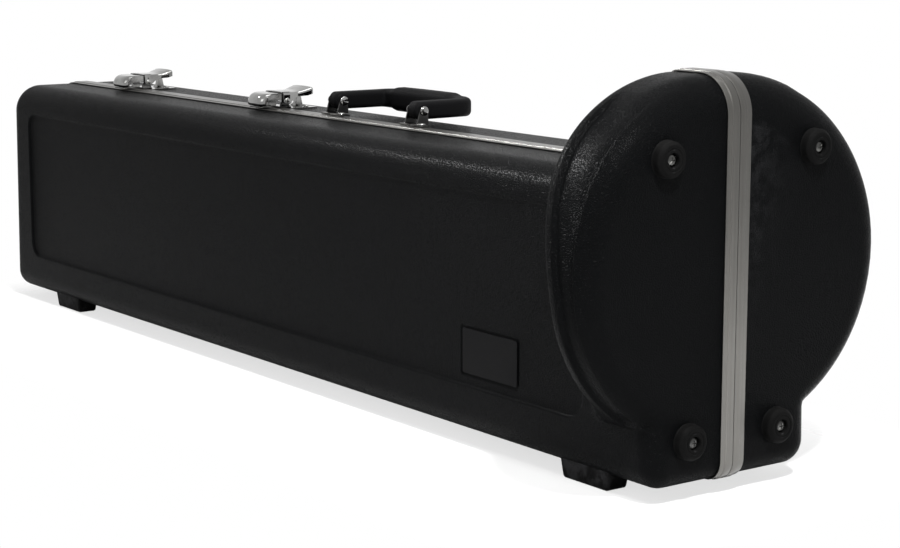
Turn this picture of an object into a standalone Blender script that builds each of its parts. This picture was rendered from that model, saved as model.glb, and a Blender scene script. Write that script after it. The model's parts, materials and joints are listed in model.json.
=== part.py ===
"""A straight trombone case: two moulded shells with a bottom hinge, valances, latches and liners.

The case stands on its spine. X runs along its length with the bell end at +X, -Y is the lid half, +Y the
base half that carries the handle, and Z is up. Shapes are made in case coordinates, whose origin is the foot
of the bell end on the parting plane, and placed under one empty that moves them to the frame of the part.
"""

import math

import bmesh
import bpy
from mathutils import Matrix, Vector

# Driving sizes of the case, in metres.
CASE_LENGTH = 1.008
BOX_HEIGHT = 0.211
BOX_DEPTH_LID = 0.073
BOX_DEPTH_BASE = 0.077
DRUM_HEIGHT = 0.278
DRUM_DEPTH_LID = 0.137
DRUM_DEPTH_BASE = 0.146
DRUM_CENTRE_HEIGHT = 0.152
DRUM_LOWER_RADIUS = 0.126
WALL = 0.0036
FIT_GAP = 0.0003
OVERRUN = 0.006

# Edges and flares of the shells.
BOTTOM_RADIUS = 0.018
TOP_RADIUS = 0.026
END_ROUND_LOW = 0.015
END_ROUND_TOP = 0.023
FRONT_ROUND_LOW = 0.014
FRONT_ROUND_TOP = 0.027
DRUM_REACH_LOW = 0.030
DRUM_REACH_TOP = 0.052
REACH_STARTS_AT = 0.130
REACH_ENDS_AT = 0.255
FLARE_RUN = 0.036
PANEL_DEPTH = 0.0018
PANEL_STEP = 0.0025
PANEL_LOW = 0.038
PANEL_HIGH = 0.184
PANEL_END_MARGIN = 0.046
PANEL_DRUM_MARGIN = 0.006
BAND_DEPTH = 0.0016
BAND_TOP = 0.262
BAND_MARGIN = 0.007

# Aluminium valance: an extrusion with an outer flange, a raised rib, a web and an inner flange.
VALANCE_WIDTH = 0.011
VALANCE_SEAT = 0.0125
VALANCE_FLANGE = 0.0009
VALANCE_RIB = 0.0016
VALANCE_RIB_WIDTH = 0.0062
VALANCE_WEB = 0.0015
VALANCE_INNER = 0.0008
VALANCE_INNER_WIDTH = 0.008
PARTING_GAP = 0.00015
TONGUE_HEIGHT = 0.0012
TONGUE_BASE = 0.0016
TONGUE_TIP = 0.0008
GROOVE_CLEARANCE = 0.0004

# Soft liners and what they hold: a bell on the base side, a slide in the lid.
LINER_SETBACK = 0.0015
BELL_RADIUS = 0.108
BELL_FRONT = -0.014
BELL_RIM_LENGTH = 0.007
BELL_RUN = 0.176
BELL_NECK_RADIUS = 0.021
BELL_FLARE_POWER = 3.6
BELL_AXIS_DEPTH = 0.018
BELL_AXIS_HEIGHT = 0.150
TUBE_RADIUS = 0.017
TUBE_START = -0.170
TUBE_BEND_X = -0.560
TUBE_RETURN_HEIGHT = 0.054
TUBE_RETURN_END = -0.330
SLOT_EXTRA = 0.0004
SLOT_LAP = 0.001
TUBE_SLOT_LAP = 0.0045
SLIDE_POCKET_START = -0.175
SLIDE_POCKET_MARGIN = 0.073
SLIDE_POCKET_LOW = 0.045
SLIDE_POCKET_HIGH = 0.172
SLIDE_POCKET_DEPTH = 0.054
SLIDE_POCKET_CORNER = 0.012
CARE_POCKET_LOW = 0.030
CARE_POCKET_HIGH = 0.084
CARE_POCKET_DEPTH = 0.040
POCKET_CORNER = 0.008
MOUTHPIECE_START = -0.306
MOUTHPIECE_HEIGHT = 0.064
MOUTHPIECE_CUP_LENGTH = 0.034
MOUTHPIECE_LENGTH = 0.094
MOUTHPIECE_RADIUS = 0.021
MOUTHPIECE_SHANK_RADIUS = 0.011
MOUTHPIECE_DEPTH = 0.040

# Flap over the accessory pocket, hung from its top edge.
FLAP_POCKET_WALL = 0.025
FLAP_POCKET_MARGIN = 0.088
FLAP_POCKET_LOW = 0.1075
FLAP_POCKET_HIGH = 0.1475
FLAP_POCKET_DEPTH = 0.056
FLAP_SIDE_LAP = 0.004
FLAP_LOWER_LAP = 0.004
FLAP_THICKNESS = 0.004
FLAP_SETBACK = 0.0006
FLAP_CLEARANCE = 0.0006
FLAP_CORNER = 0.0015
FLAP_AXIS_RISE = 0.0045
FLAP_BARREL_RADIUS = 0.0026
FLAP_TOP_LAP = 0.0009
FLAP_PIN_RADIUS = 0.0012
FLAP_EYE_LENGTH = 0.012
FLAP_STRIP_WIDTH = 0.012
FLAP_STRIP_THICKNESS = 0.0013
KNOB_RADIUS = 0.008
KNOB_NECK_RADIUS = 0.0045
KNOB_HEIGHT = 0.008
KNOB_NECK_HEIGHT = 0.003
KNOB_ROUND = 0.0015
KNOB_ABOVE_EDGE = 0.012

# Turn buttons that hold the slide in the lid.
KEEPER_PLACES = (-0.342, -0.620)
KEEPER_REACH = 0.034
KEEPER_TAIL = 0.009
KEEPER_HALF = 0.009
KEEPER_THICKNESS = 0.005
KEEPER_SHELF_DEPTH = 0.013
KEEPER_EDGE = 0.001
KEEPER_POST_DROP = 0.010
KEEPER_ROOM = 0.002
KEEPER_SCREW_RADIUS = 0.0022
KEEPER_HEAD_RADIUS = 0.0045
KEEPER_HEAD_HEIGHT = 0.0016
KEEPER_SCREW_LENGTH = 0.013

# Sheet parts that stand on the valance and step down to the shell beside it.
STEP_CLEARANCE = 0.0006
STEP_RUN = 0.0008
STEP_SKEW = 0.0006
HOLE_GAP = 0.0003
SHEET_INSET = 0.0002
RIVET_HEAD_RADIUS = 0.0032
RIVET_HEAD_HEIGHT = 0.0013
RIVET_SHANK_RADIUS = 0.0016

# Draw latches, in the latch's own frame: Y across the seam, Z from the box's top.
LATCH_LEFT_MARGIN = 0.136
LATCH_RIGHT_MARGIN = 0.401
LATCH_SHEET = 0.0012
LATCH_PLATE_HALF = 0.0185
LATCH_PLATE_NEAR = 0.0025
LATCH_PLATE_FAR = 0.0400
LATCH_RIVET_Y = 0.0330
LATCH_RIVET_X = 0.0110
LATCH_EAR_INNER = 0.0106
LATCH_EAR_OUTER = 0.0120
LATCH_EAR_NEAR = 0.0048
LATCH_EAR_FAR = 0.0155
LATCH_EAR_ROUND = 0.0023
LATCH_EAR_SINK = 0.0006
LATCH_PIVOT_Y = 0.0100
LATCH_PIVOT_Z = 0.0085
LATCH_PIN_RADIUS = 0.0012
LATCH_PIN_HEAD_RADIUS = 0.0023
LATCH_PIN_HEAD = 0.0009
HOOK_RISE = 0.0036
HOOK_PIN_RADIUS = 0.0009
HOOK_BOSS_RADIUS = 0.0021
HOOK_HALF = 0.0143
HOOK_ARM_INNER = 0.0127
HOOK_ARM_OUTER = 0.0141
HOOK_FAR = 0.0040
HOOK_TOP = 0.0150
HOOK_BEND_Y = -0.0110
HOOK_BEND_RADIUS = 0.0055
HOOK_NIB_LOW = 0.0038
HOOK_NIB_RADIUS = 0.0020
HOOK_NIB_TIP = -0.0114
HOOK_ARM_END = -0.0020
LEVER_HALF = 0.0165
LEVER_FLANGE_OUTER = 0.0163
LEVER_FLANGE_INNER = 0.0150
LEVER_NEAR = 0.0064
LEVER_FLANGE_NEAR = 0.0070
LEVER_TOP = 0.0157
LEVER_TAB_START = 0.0260
LEVER_FAR = 0.0300
LEVER_TAB_HALF = 0.0145
LEVER_TAB_REACH = 0.0370
LEVER_TAB_HEIGHT = 0.0195
LEVER_FLANGE_FAR = 0.0285
LEVER_FLANGE_TAIL = 0.0126
LEVER_KNEE_Y = 0.0145
LEVER_KNEE_Z = 0.0062
LEVER_ROUND = 0.0030
LEVER_SLOT_FAR = 0.0143
LEVER_SLOT_SIDE = 0.0004
STRIKE_HALF = 0.0085
STRIKE_NEAR = 0.0025
STRIKE_FAR = 0.0150
STRIKE_LIP_NEAR = 0.0094
STRIKE_LIP_FAR = 0.0126
STRIKE_LIP_TOP = 0.0070

# Folding handle, in the handle's own frame: Y from the pivot towards the grip.
HANDLE_MARGIN = 0.556
HANDLE_PIVOT_SPACING = 0.120
HANDLE_PIVOT_Y = 0.0135
HANDLE_PIVOT_HEIGHT = 0.0140
HANDLE_LEG_WIDTH = 0.0155
HANDLE_LEG_HEIGHT = 0.0150
HANDLE_LEG_END = 0.0070
HANDLE_LEG_STRAIGHT = 0.0090
HANDLE_REACH = 0.0610
HANDLE_TAPER = 0.0020
HANDLE_GRIP_DEPTH = 0.0190
HANDLE_GRIP_RADIUS = 0.0105
HANDLE_EDGE_RADIUS = 0.0045
HANDLE_CORNER = 0.0100
HANDLE_PIN_RADIUS = 0.0022
BRACKET_SHEET = 0.0014
BRACKET_SIDE_GAP = 0.0004
BRACKET_NEAR = 0.0020
BRACKET_FAR = 0.0195
BRACKET_EAR_ROUND = 0.0038
BRACKET_EAR_NEAR = 0.0065
BRACKET_TAB = 0.0130
BRACKET_TAB_FAR = 0.0108
BRACKET_SCREW_Y = 0.0062
PIN_HEAD_RADIUS = 0.0040
PIN_HEAD_HEIGHT = 0.0016

# Bottom hinges.
HINGE_END_MARGIN = 0.148
HINGE_BELL_MARGIN = 0.165
HINGE_LENGTH = 0.060
HINGE_LEAF_NEAR = 0.0008
HINGE_LEAF_WIDTH = 0.022
HINGE_SHEET = 0.0012
HINGE_EYE_RADIUS = 0.0030
HINGE_PIN_RADIUS = 0.0014
HINGE_PIN_HEAD_RADIUS = 0.0026
HINGE_PIN_HEAD = 0.0008
HINGE_MIDDLE = 0.020

# Feet, end bumpers and the label plate.
FOOT_HEIGHT = 0.011
FOOT_LENGTH = 0.054
FOOT_WIDTH = 0.022
FOOT_TAPER = 0.003
FOOT_EDGE = 0.0022
FOOT_SEAT = 0.008
FOOT_END_MARGIN = 0.110
FOOT_BELL_MARGIN = 0.079
FOOT_INSET = 0.0175
BUMPER_RADIUS = 0.0125
BUMPER_HEIGHT = 0.0080
BUMPER_RECESS_RADIUS = 0.0048
BUMPER_RECESS_DEPTH = 0.0035
BUMPER_SHOULDER = 0.0025
BUMPER_TOP_DROP = 0.052
BUMPER_INSET_LID = 0.072
BUMPER_INSET_BASE = 0.075
BUMPER_LOWER_HEIGHT = 0.033
BUMPER_LOWER_DEPTH = 0.041
SCREW_HEAD_RADIUS = 0.0042
SCREW_HEAD_HEIGHT = 0.0018
SCREW_SHANK_RADIUS = 0.0020
SCREW_SLOT_HALF = 0.0005
CROSS_TIP_SHARE = 0.7
SCREW_SLOT_REACH = 0.0024
SCREW_SLOT_DEPTH = 0.0009
LABEL_X = -0.181
LABEL_Z = 0.064
LABEL_LENGTH = 0.066
LABEL_HEIGHT = 0.034
LABEL_RECESS_MARGIN = 0.0025
LABEL_RECESS_DEPTH = 0.0008
LABEL_THICKNESS = 0.0009
LABEL_CORNER = 0.0020

# How finely the round shapes are drawn.
CORNER_STEPS = 4
SIDE_STEPS = 7
TOP_STEPS = 3
FLARE_STEPS = 5
ROUND_STEPS = 3
PIN_SIDES = 10
EYE_SIDES = 14
BELL_SIDES = 24
BELL_STEPS = 7
BEND_STEPS = 7
WELD = 1e-6

# Places round the bell end's front edge, from its side to its face, and how deep the band is sunk there.
TURN_SHARES = ((1.00, 1.0), (0.74, 1.0), (0.66, 0.0), (0.44, 0.0), (0.22, 0.0), (0.0, 0.0))

# Places along the case, measured from the bell end.
LATCH_PLACES = {"left": LATCH_LEFT_MARGIN - CASE_LENGTH, "right": LATCH_RIGHT_MARGIN - CASE_LENGTH}
HANDLE_CENTRE_X = HANDLE_MARGIN - CASE_LENGTH
HINGE_LEFT = HINGE_END_MARGIN - CASE_LENGTH
HINGE_RIGHT = -HINGE_BELL_MARGIN
HINGE_PLACES = {"left": HINGE_LEFT, "middle": (HINGE_LEFT + HINGE_RIGHT) / 2, "right": HINGE_RIGHT}
FOOT_PLACES = {"left": FOOT_END_MARGIN - CASE_LENGTH, "right": -FOOT_BELL_MARGIN}
SLIDE_POCKET_END = SLIDE_POCKET_MARGIN - CASE_LENGTH
FLAP_POCKET_END = FLAP_POCKET_MARGIN - CASE_LENGTH
TUBE_BEND_RADIUS = (BELL_AXIS_HEIGHT - TUBE_RETURN_HEIGHT) / 2
FLAP_POCKET_START = TUBE_BEND_X - TUBE_BEND_RADIUS - TUBE_RADIUS - FLAP_POCKET_WALL
FLAP_AXIS_HEIGHT = FLAP_POCKET_HIGH + FLAP_AXIS_RISE

QUARTER = math.pi / 2
LID_SIDE = -1
BASE_SIDE = 1
COLLECTION_NAME = "trombone_case"


def clear_scene():
    for scene_object in list(bpy.data.objects):
        bpy.data.objects.remove(scene_object, do_unlink=True)


def make_collection(name):
    collection = bpy.data.collections.new(name)
    bpy.context.scene.collection.children.link(collection)
    return collection


def make_material(name, colour, roughness, metallic=0.0):
    material = bpy.data.materials.new(name)
    material.use_nodes = True
    shader = material.node_tree.nodes["Principled BSDF"]
    shader.inputs["Base Color"].default_value = (*colour, 1.0)
    shader.inputs["Roughness"].default_value = roughness
    shader.inputs["Metallic"].default_value = metallic
    material.diffuse_color = (*colour, 1.0)
    return material


def ease(share):
    """A smooth step from 0 to 1."""
    share = min(max(share, 0.0), 1.0)
    return share * share * (3 - 2 * share)


def mix(low, high, share):
    return low + (high - low) * share


class Builder:
    """Holds the collections, the empties and the helpers that every sub-part uses."""

    def __init__(self):
        self.parts = make_collection(COLLECTION_NAME)
        self.cutters = make_collection("cutters")
        self.cutters.hide_render = True
        self.frame_origin = frame_origin()
        self.root = self.empty("case_frame", Vector((0, 0, 0)), None)

    def empty(self, name, place, parent):
        """An empty at a place in case coordinates, which it keeps under case_place for what hangs on it."""
        made = bpy.data.objects.new(name, None)
        made["case_place"] = tuple(place)
        made.parent = parent
        before = Vector(parent["case_place"]) if parent else self.frame_origin
        made.location = place - before
        self.parts.objects.link(made)
        return made

    def add(self, name, mesh, material, pivot=None, parent=None):
        """A node, made from a mesh in case coordinates."""
        parent = parent or self.root
        place = Vector(parent["case_place"])
        pivot = pivot if pivot is not None else place
        mesh.transform(Matrix.Translation(-pivot))
        mesh.materials.clear()
        mesh.materials.append(material)
        made = bpy.data.objects.new(name, mesh)
        mesh.name = name
        made.parent = parent
        made.location = pivot - place
        self.parts.objects.link(made)
        return made

    def combine(self, node, mesh, operation):
        """Cuts a node with a mesh in case coordinates, or joins the mesh to it."""
        helper = bpy.data.objects.new(f"{node.name}_{operation.lower()}", mesh)
        helper.display_type = "WIRE"
        helper.hide_render = True
        helper.parent = self.root
        self.cutters.objects.link(helper)
        boolean = node.modifiers.new(operation.lower(), "BOOLEAN")
        boolean.object = helper
        boolean.operation = operation
        boolean.solver = "EXACT"

    def cut(self, node, mesh):
        self.combine(node, mesh, "DIFFERENCE")

    def join(self, node, mesh):
        self.combine(node, mesh, "UNION")


def mesh_from(work):
    """A closed mesh with its faces turned outwards."""
    bmesh.ops.recalc_face_normals(work, faces=work.faces)
    if work.calc_volume(signed=True) < 0:
        bmesh.ops.reverse_faces(work, faces=work.faces)
    mesh = bpy.data.meshes.new("shape")
    work.to_mesh(mesh)
    work.free()
    return mesh


def box_mesh(low, high):
    work = bmesh.new()
    bmesh.ops.create_cube(work, size=1.0)
    size = Vector(high) - Vector(low)
    centre = (Vector(high) + Vector(low)) / 2
    bmesh.ops.scale(work, vec=size, verts=work.verts)
    bmesh.ops.translate(work, vec=centre, verts=work.verts)
    return mesh_from(work)


def rod_mesh(start, end, radius, sides=PIN_SIDES, end_radius=None):
    """A straight rod, or a cone where the two radii differ."""
    start, end = Vector(start), Vector(end)
    work = bmesh.new()
    bmesh.ops.create_cone(
        work,
        cap_ends=True,
        segments=sides,
        radius1=radius,
        radius2=radius if end_radius is None else end_radius,
        depth=(end - start).length,
    )
    turn = Vector((0, 0, 1)).rotation_difference(end - start).to_matrix().to_4x4()
    work.transform(Matrix.Translation((start + end) / 2) @ turn)
    return mesh_from(work)


def curve_mesh(curve, placing):
    """The mesh that a curve evaluates to, with its caps welded, in case coordinates."""
    holder = bpy.data.objects.new("curve", curve)
    bpy.context.scene.collection.objects.link(holder)
    graph = bpy.context.evaluated_depsgraph_get()
    graph.update()
    mesh = bpy.data.meshes.new_from_object(holder.evaluated_get(graph))
    bpy.data.objects.remove(holder, do_unlink=True)
    bpy.data.curves.remove(curve)
    work = bmesh.new()
    work.from_mesh(mesh)
    bpy.data.meshes.remove(mesh)
    bmesh.ops.remove_doubles(work, verts=work.verts, dist=WELD)
    work.transform(placing)
    return mesh_from(work)


def add_loop(curve, points, cyclic=True):
    spline = curve.splines.new("POLY")
    spline.points.add(len(points) - 1)
    for spot, point in zip(spline.points, points):
        spot.co = (*point, 0.0, 1.0) if len(point) == 2 else (*point, 1.0)
    spline.use_cyclic_u = cyclic


PLANE_XY = Matrix.Identity(4)
# Local X and Y become case Y and Z, and the thickness runs along X.
PLANE_YZ = Matrix(((0, 0, 1, 0), (1, 0, 0, 0), (0, 1, 0, 0), (0, 0, 0, 1)))
# Local X and Y become case X and Z, and the thickness runs along -Y.
PLANE_XZ = Matrix(((1, 0, 0, 0), (0, 0, -1, 0), (0, 1, 0, 0), (0, 0, 0, 1)))


def extruded(loops, low, high, plane):
    """A flat outline with its holes, thickened from low to high along the plane's own normal."""
    curve = bpy.data.curves.new("outline", "CURVE")
    curve.dimensions = "2D"
    curve.fill_mode = "BOTH"
    curve.extrude = (high - low) / 2
    for loop in loops:
        add_loop(curve, loop)
    middle = Matrix.Translation((0, 0, (high + low) / 2))
    return curve_mesh(curve, plane @ middle)


def wire_mesh(points, radius, resolution=2):
    curve = bpy.data.curves.new("wire", "CURVE")
    curve.dimensions = "3D"
    curve.bevel_depth = radius
    curve.bevel_resolution = resolution
    curve.use_fill_caps = True
    add_loop(curve, points, cyclic=False)
    return curve_mesh(curve, Matrix.Identity(4))


def turned(profile, sides, placing):
    """A profile of (radius, height) pairs turned about local Z, then placed."""
    mesh = bpy.data.meshes.new("profile")
    ends = range(len(profile) - 1)
    mesh.from_pydata([(radius, 0.0, height) for radius, height in profile], [(i, i + 1) for i in ends], [])
    holder = bpy.data.objects.new("profile", mesh)
    bpy.context.scene.collection.objects.link(holder)
    screw = holder.modifiers.new("turn", "SCREW")
    screw.steps = sides
    screw.render_steps = sides
    screw.use_merge_vertices = True
    screw.merge_threshold = WELD
    graph = bpy.context.evaluated_depsgraph_get()
    graph.update()
    made = bpy.data.meshes.new_from_object(holder.evaluated_get(graph))
    bpy.data.objects.remove(holder, do_unlink=True)
    work = bmesh.new()
    work.from_mesh(made)
    bmesh.ops.remove_doubles(work, verts=work.verts, dist=WELD)
    work.transform(placing)
    return mesh_from(work)


def arc(centre, radius, start, end, steps):
    """Points of an arc from one angle to another, both ends included."""
    angles = [mix(start, end, k / steps) for k in range(steps + 1)]
    return [(centre[0] + radius * math.cos(a), centre[1] + radius * math.sin(a)) for a in angles]


def rounded_rectangle(low, high, radius, steps=3):
    """Corner by corner from the lower left, anticlockwise."""
    corners = (
        ((low[0] + radius, low[1] + radius), math.pi),
        ((high[0] - radius, low[1] + radius), math.pi + QUARTER),
        ((high[0] - radius, high[1] - radius), 0.0),
        ((low[0] + radius, high[1] - radius), QUARTER),
    )
    points = []
    for centre, start in corners:
        points += arc(centre, radius, start, start + QUARTER, steps)
    return points


def bevel_edges(node, width, segments=2, angle=0.6):
    bevel = node.modifiers.new("rounding", "BEVEL")
    bevel.width = width
    bevel.segments = segments
    bevel.limit_method = "ANGLE"
    bevel.angle_limit = angle


def shade(node, angle=0.7):
    for face in node.data.polygons:
        face.use_smooth = True
    node.data.set_sharp_from_angle(angle=angle)


def direction_through(before, here, after):
    """The direction of a line through its point, and how much a mitre there lengthens an offset."""
    first, second = (here - before).normalized(), (after - here).normalized()
    both = first + second
    mitre = (first.length + second.length) / both.length
    return both.normalized(), mitre


class Half:
    """The outer surface of one half of the case, as rows along X crossed by columns round the half outline.

    A column is a place on the outline from the bottom of the parting plane round the side to its top. Depth is
    measured from the parting plane, so the two halves differ only by their side and their depths.
    """

    def __init__(self, side, box_depth, drum_depth):
        self.side = side
        self.box_depth = box_depth
        self.drum_depth = drum_depth
        self.box = self.box_outline()
        self.drum = self.drum_outline()

    def box_outline(self):
        depth = self.box_depth
        points = [(0.0, 0.0), (VALANCE_SEAT, 0.0)]
        points += arc((depth - BOTTOM_RADIUS, BOTTOM_RADIUS), BOTTOM_RADIUS, -QUARTER, 0.0, CORNER_STEPS)
        points.append((depth, PANEL_LOW - PANEL_STEP / 2))
        self.first_side = len(points)
        low, high = PANEL_LOW + PANEL_STEP / 2, PANEL_HIGH - PANEL_STEP / 2
        points += [(depth, mix(low, high, k / SIDE_STEPS)) for k in range(SIDE_STEPS + 1)]
        self.last_side = len(points) - 1
        centre = (depth - TOP_RADIUS, BOX_HEIGHT - TOP_RADIUS)
        points += arc(centre, TOP_RADIUS, 0.0, QUARTER, CORNER_STEPS)
        flat = depth - TOP_RADIUS
        points += [(mix(flat, VALANCE_SEAT, k / TOP_STEPS), BOX_HEIGHT) for k in range(1, TOP_STEPS + 1)]
        points.append((0.0, BOX_HEIGHT))
        return points

    def drum_outline(self):
        """The box outline up to the drum's foot, then an ellipse up to the parting plane."""
        lengths = [0.0]
        curved = self.box[self.first_side : -1]
        for before, after in zip(curved, curved[1:]):
            lengths.append(lengths[-1] + math.dist(before, after))
        span = self.drum_depth - VALANCE_SEAT
        start = -math.acos((self.box_depth - VALANCE_SEAT) / span)
        foot_top = DRUM_CENTRE_HEIGHT + DRUM_LOWER_RADIUS * math.sin(start)
        points = [*self.box[: self.first_side - 1], (self.box_depth, foot_top - PANEL_STEP)]
        for length in lengths:
            angle = mix(start, QUARTER, length / lengths[-1])
            radius = DRUM_LOWER_RADIUS if angle < 0 else DRUM_HEIGHT - DRUM_CENTRE_HEIGHT
            rise = DRUM_CENTRE_HEIGHT + radius * math.sin(angle)
            points.append((VALANCE_SEAT + span * math.cos(angle), rise))
        points.append((0.0, DRUM_HEIGHT))
        return points

    def normal(self, outline, column):
        """The outward direction of an outline: level under the valance, and between its neighbours elsewhere."""
        if column < 2:
            return Vector((0.0, -1.0))
        if column > len(outline) - 3:
            return Vector((0.0, 1.0))
        before, here, after = (Vector(outline[k]) for k in (column - 1, column, column + 1))
        along = ((here - before).normalized() + (after - here).normalized()).normalized()
        return Vector((along.y, -along.x))

    def reach(self, column):
        """How far the drum reaches back from the bell end at this column."""
        height = self.drum[column][1]
        share = ease((height - REACH_STARTS_AT) / (REACH_ENDS_AT - REACH_STARTS_AT))
        return mix(DRUM_REACH_LOW, DRUM_REACH_TOP, share)

    def rows(self, column, relief=True):
        """(x, drum share, inset) for each row of a column, from the far end to the bell end."""
        height = self.drum[column][1]
        end_round = mix(END_ROUND_LOW, END_ROUND_TOP, self.box[column][1] / BOX_HEIGHT)
        front_round = mix(FRONT_ROUND_LOW, FRONT_ROUND_TOP, height / DRUM_HEIGHT)
        on_side = self.first_side <= column <= self.last_side
        on_band = column >= self.first_side and height < BAND_TOP
        edge = -self.reach(column)
        flare = edge - FLARE_RUN
        found = []
        for k in range(ROUND_STEPS + 1):
            turn = QUARTER * k / ROUND_STEPS
            x = -CASE_LENGTH + end_round * (1 - math.cos(turn))
            found.append((x, 0.0, end_round * (1 - math.sin(turn))))
        if relief:
            panel = PANEL_DEPTH if on_side else 0.0
            left = -CASE_LENGTH + PANEL_END_MARGIN
            right = flare - PANEL_DRUM_MARGIN
            found.append((left - PANEL_STEP / 2, 0.0, 0.0))
            found.append((left + PANEL_STEP / 2, 0.0, panel))
            found.append((right - PANEL_STEP, 0.0, panel))
            found.append((right, 0.0, 0.0))
        for k in range(FLARE_STEPS + 1):
            share = k / FLARE_STEPS
            found.append((mix(flare, edge, share), ease(share), 0.0))
        band = BAND_DEPTH if relief and on_band else 0.0
        if relief:
            found.append((edge + BAND_MARGIN / 2, 1.0, 0.0))
            found.append((edge + BAND_MARGIN, 1.0, band))
        for turn_share, band_share in TURN_SHARES:
            turn = QUARTER * turn_share
            inset = front_round * (1 - math.sin(turn)) + band * band_share
            found.append((-front_round * (1 - math.cos(turn)), 1.0, inset))
        return found

    def point(self, column, x, drum_share, inset):
        box, drum = Vector(self.box[column]), Vector(self.drum[column])
        out = self.normal(self.box, column).lerp(self.normal(self.drum, column), drum_share)
        spot = box.lerp(drum, drum_share) - out.normalized() * inset
        return Vector((x, spot.x * self.side, spot.y))

    def moved_in(self, columns, margin):
        """The same columns moved inwards along the surface's own normal."""
        last_column, last_row = len(columns) - 1, len(columns[0]) - 1
        moved = []
        for c, column in enumerate(columns):
            before, after = columns[max(c - 1, 0)], columns[min(c + 1, last_column)]
            spots = [column[0] + Vector((margin, 0, 0))]
            for r in range(1, last_row):
                along, mitre = direction_through(column[r - 1], column[r], column[r + 1])
                across, side_mitre = direction_through(before[r], column[r], after[r])
                inwards = across.cross(along).normalized() * -self.side
                spots.append(column[r] + inwards * margin * mitre * side_mitre)
            spots.append(column[last_row] - Vector((margin, 0, 0)))
            moved.append(spots)
        return moved

    def grid(self, margin=0.0, relief=True):
        """Columns of points, with one more column past the parting plane at each end."""
        columns = []
        for column in range(len(self.box)):
            columns.append([self.point(column, *row) for row in self.rows(column, relief)])
        if margin:
            columns = self.moved_in(columns, margin)
        past = Vector((0, -self.side * (OVERRUN + margin), 0))
        return [[spot + past for spot in columns[0]], *columns, [spot + past for spot in columns[-1]]]

    def solid(self, margin=0.0, relief=True):
        """The closed body inside this surface, which runs a little past the parting plane.

        Every face between two rows is split the same way, so that nested bodies never cross.
        """
        work = bmesh.new()
        grid = [[work.verts.new(spot) for spot in column] for column in self.grid(margin, relief)]
        rows = len(grid[0])
        count = len(grid)
        for c in range(count):
            after = grid[(c + 1) % count]
            for r in range(rows - 1):
                work.faces.new((grid[c][r], grid[c][r + 1], after[r + 1]))
                work.faces.new((grid[c][r], after[r + 1], after[r]))
        work.faces.new([column[0] for column in grid])
        work.faces.new([column[-1] for column in reversed(grid)])
        return mesh_from(work)

    def beyond_parting(self, setback):
        """A block that covers everything nearer the other half than the setback."""
        reach = DRUM_DEPTH_LID + DRUM_DEPTH_BASE
        low = Vector((-CASE_LENGTH - reach, -self.side * reach, -reach))
        high = Vector((reach, self.side * setback, DRUM_HEIGHT + reach))
        near = Vector((low.x, min(low.y, high.y), low.z))
        far = Vector((high.x, max(low.y, high.y), high.z))
        return box_mesh(near, far)

    def rim(self):
        """The outline of the parting plane, as (x, z) points without those in the middle of a straight."""
        bottom = [Vector((x, inset)) for x, _, inset in self.rows(0)]
        last = len(self.box) - 1
        top = [self.point(last, *row) for row in self.rows(last)]
        loop = bottom + [Vector((spot.x, spot.z)) for spot in reversed(top)]
        kept = []
        for here, before, after in zip(loop, loop[-1:] + loop[:-1], loop[1:] + loop[:1]):
            first, second = here - before, after - here
            if abs(first.normalized().cross(second.normalized())) > 1e-4:
                kept.append(here)
        return kept


def frame_origin():
    """The middle of the bottom of the part's bounding box, in case coordinates."""
    front = BUMPER_HEIGHT + FIT_GAP
    back = -CASE_LENGTH - FIT_GAP - VALANCE_RIB
    deepest_lid = max(depth for depth, _ in lid_half().drum)
    deepest_base = max(depth for depth, _ in base_half().drum)
    return Vector(((front + back) / 2, (deepest_base - deepest_lid) / 2, -FOOT_HEIGHT))


def lid_half():
    return Half(LID_SIDE, BOX_DEPTH_LID, DRUM_DEPTH_LID)


def base_half():
    return Half(BASE_SIDE, BOX_DEPTH_BASE, DRUM_DEPTH_BASE)


class Palette:
    """One material for each finish in the photograph."""

    def __init__(self):
        self.shell = make_material("black_abs", (0.016, 0.017, 0.018), 0.42)
        self.valance = make_material("satin_aluminium", (0.66, 0.66, 0.63), 0.36, 1.0)
        self.chrome = make_material("chrome_plate", (0.72, 0.72, 0.70), 0.12, 1.0)
        self.steel = make_material("plated_steel", (0.50, 0.50, 0.49), 0.30, 1.0)
        self.rubber = make_material("black_rubber", (0.012, 0.012, 0.013), 0.65)
        self.handle = make_material("handle_plastic", (0.020, 0.020, 0.021), 0.50)
        self.liner = make_material("plush_liner", (0.045, 0.047, 0.052), 0.95)
        self.lid = make_material("liner_board", (0.060, 0.062, 0.068), 0.90)
        self.keeper = make_material("keeper_plastic", (0.030, 0.030, 0.032), 0.45)
        self.label = make_material("label_plate", (0.010, 0.010, 0.011), 0.30)


def build_shell(builder, half, name, material, parent):
    """A moulded shell with an even wall, trimmed back from the parting plane."""
    shell = builder.add(name, half.solid(), material, parent=parent)
    builder.cut(shell, half.solid(margin=WALL, relief=False))
    builder.cut(shell, half.beyond_parting(VALANCE_WEB + PARTING_GAP + FIT_GAP))
    shade(shell)
    return shell


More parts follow.
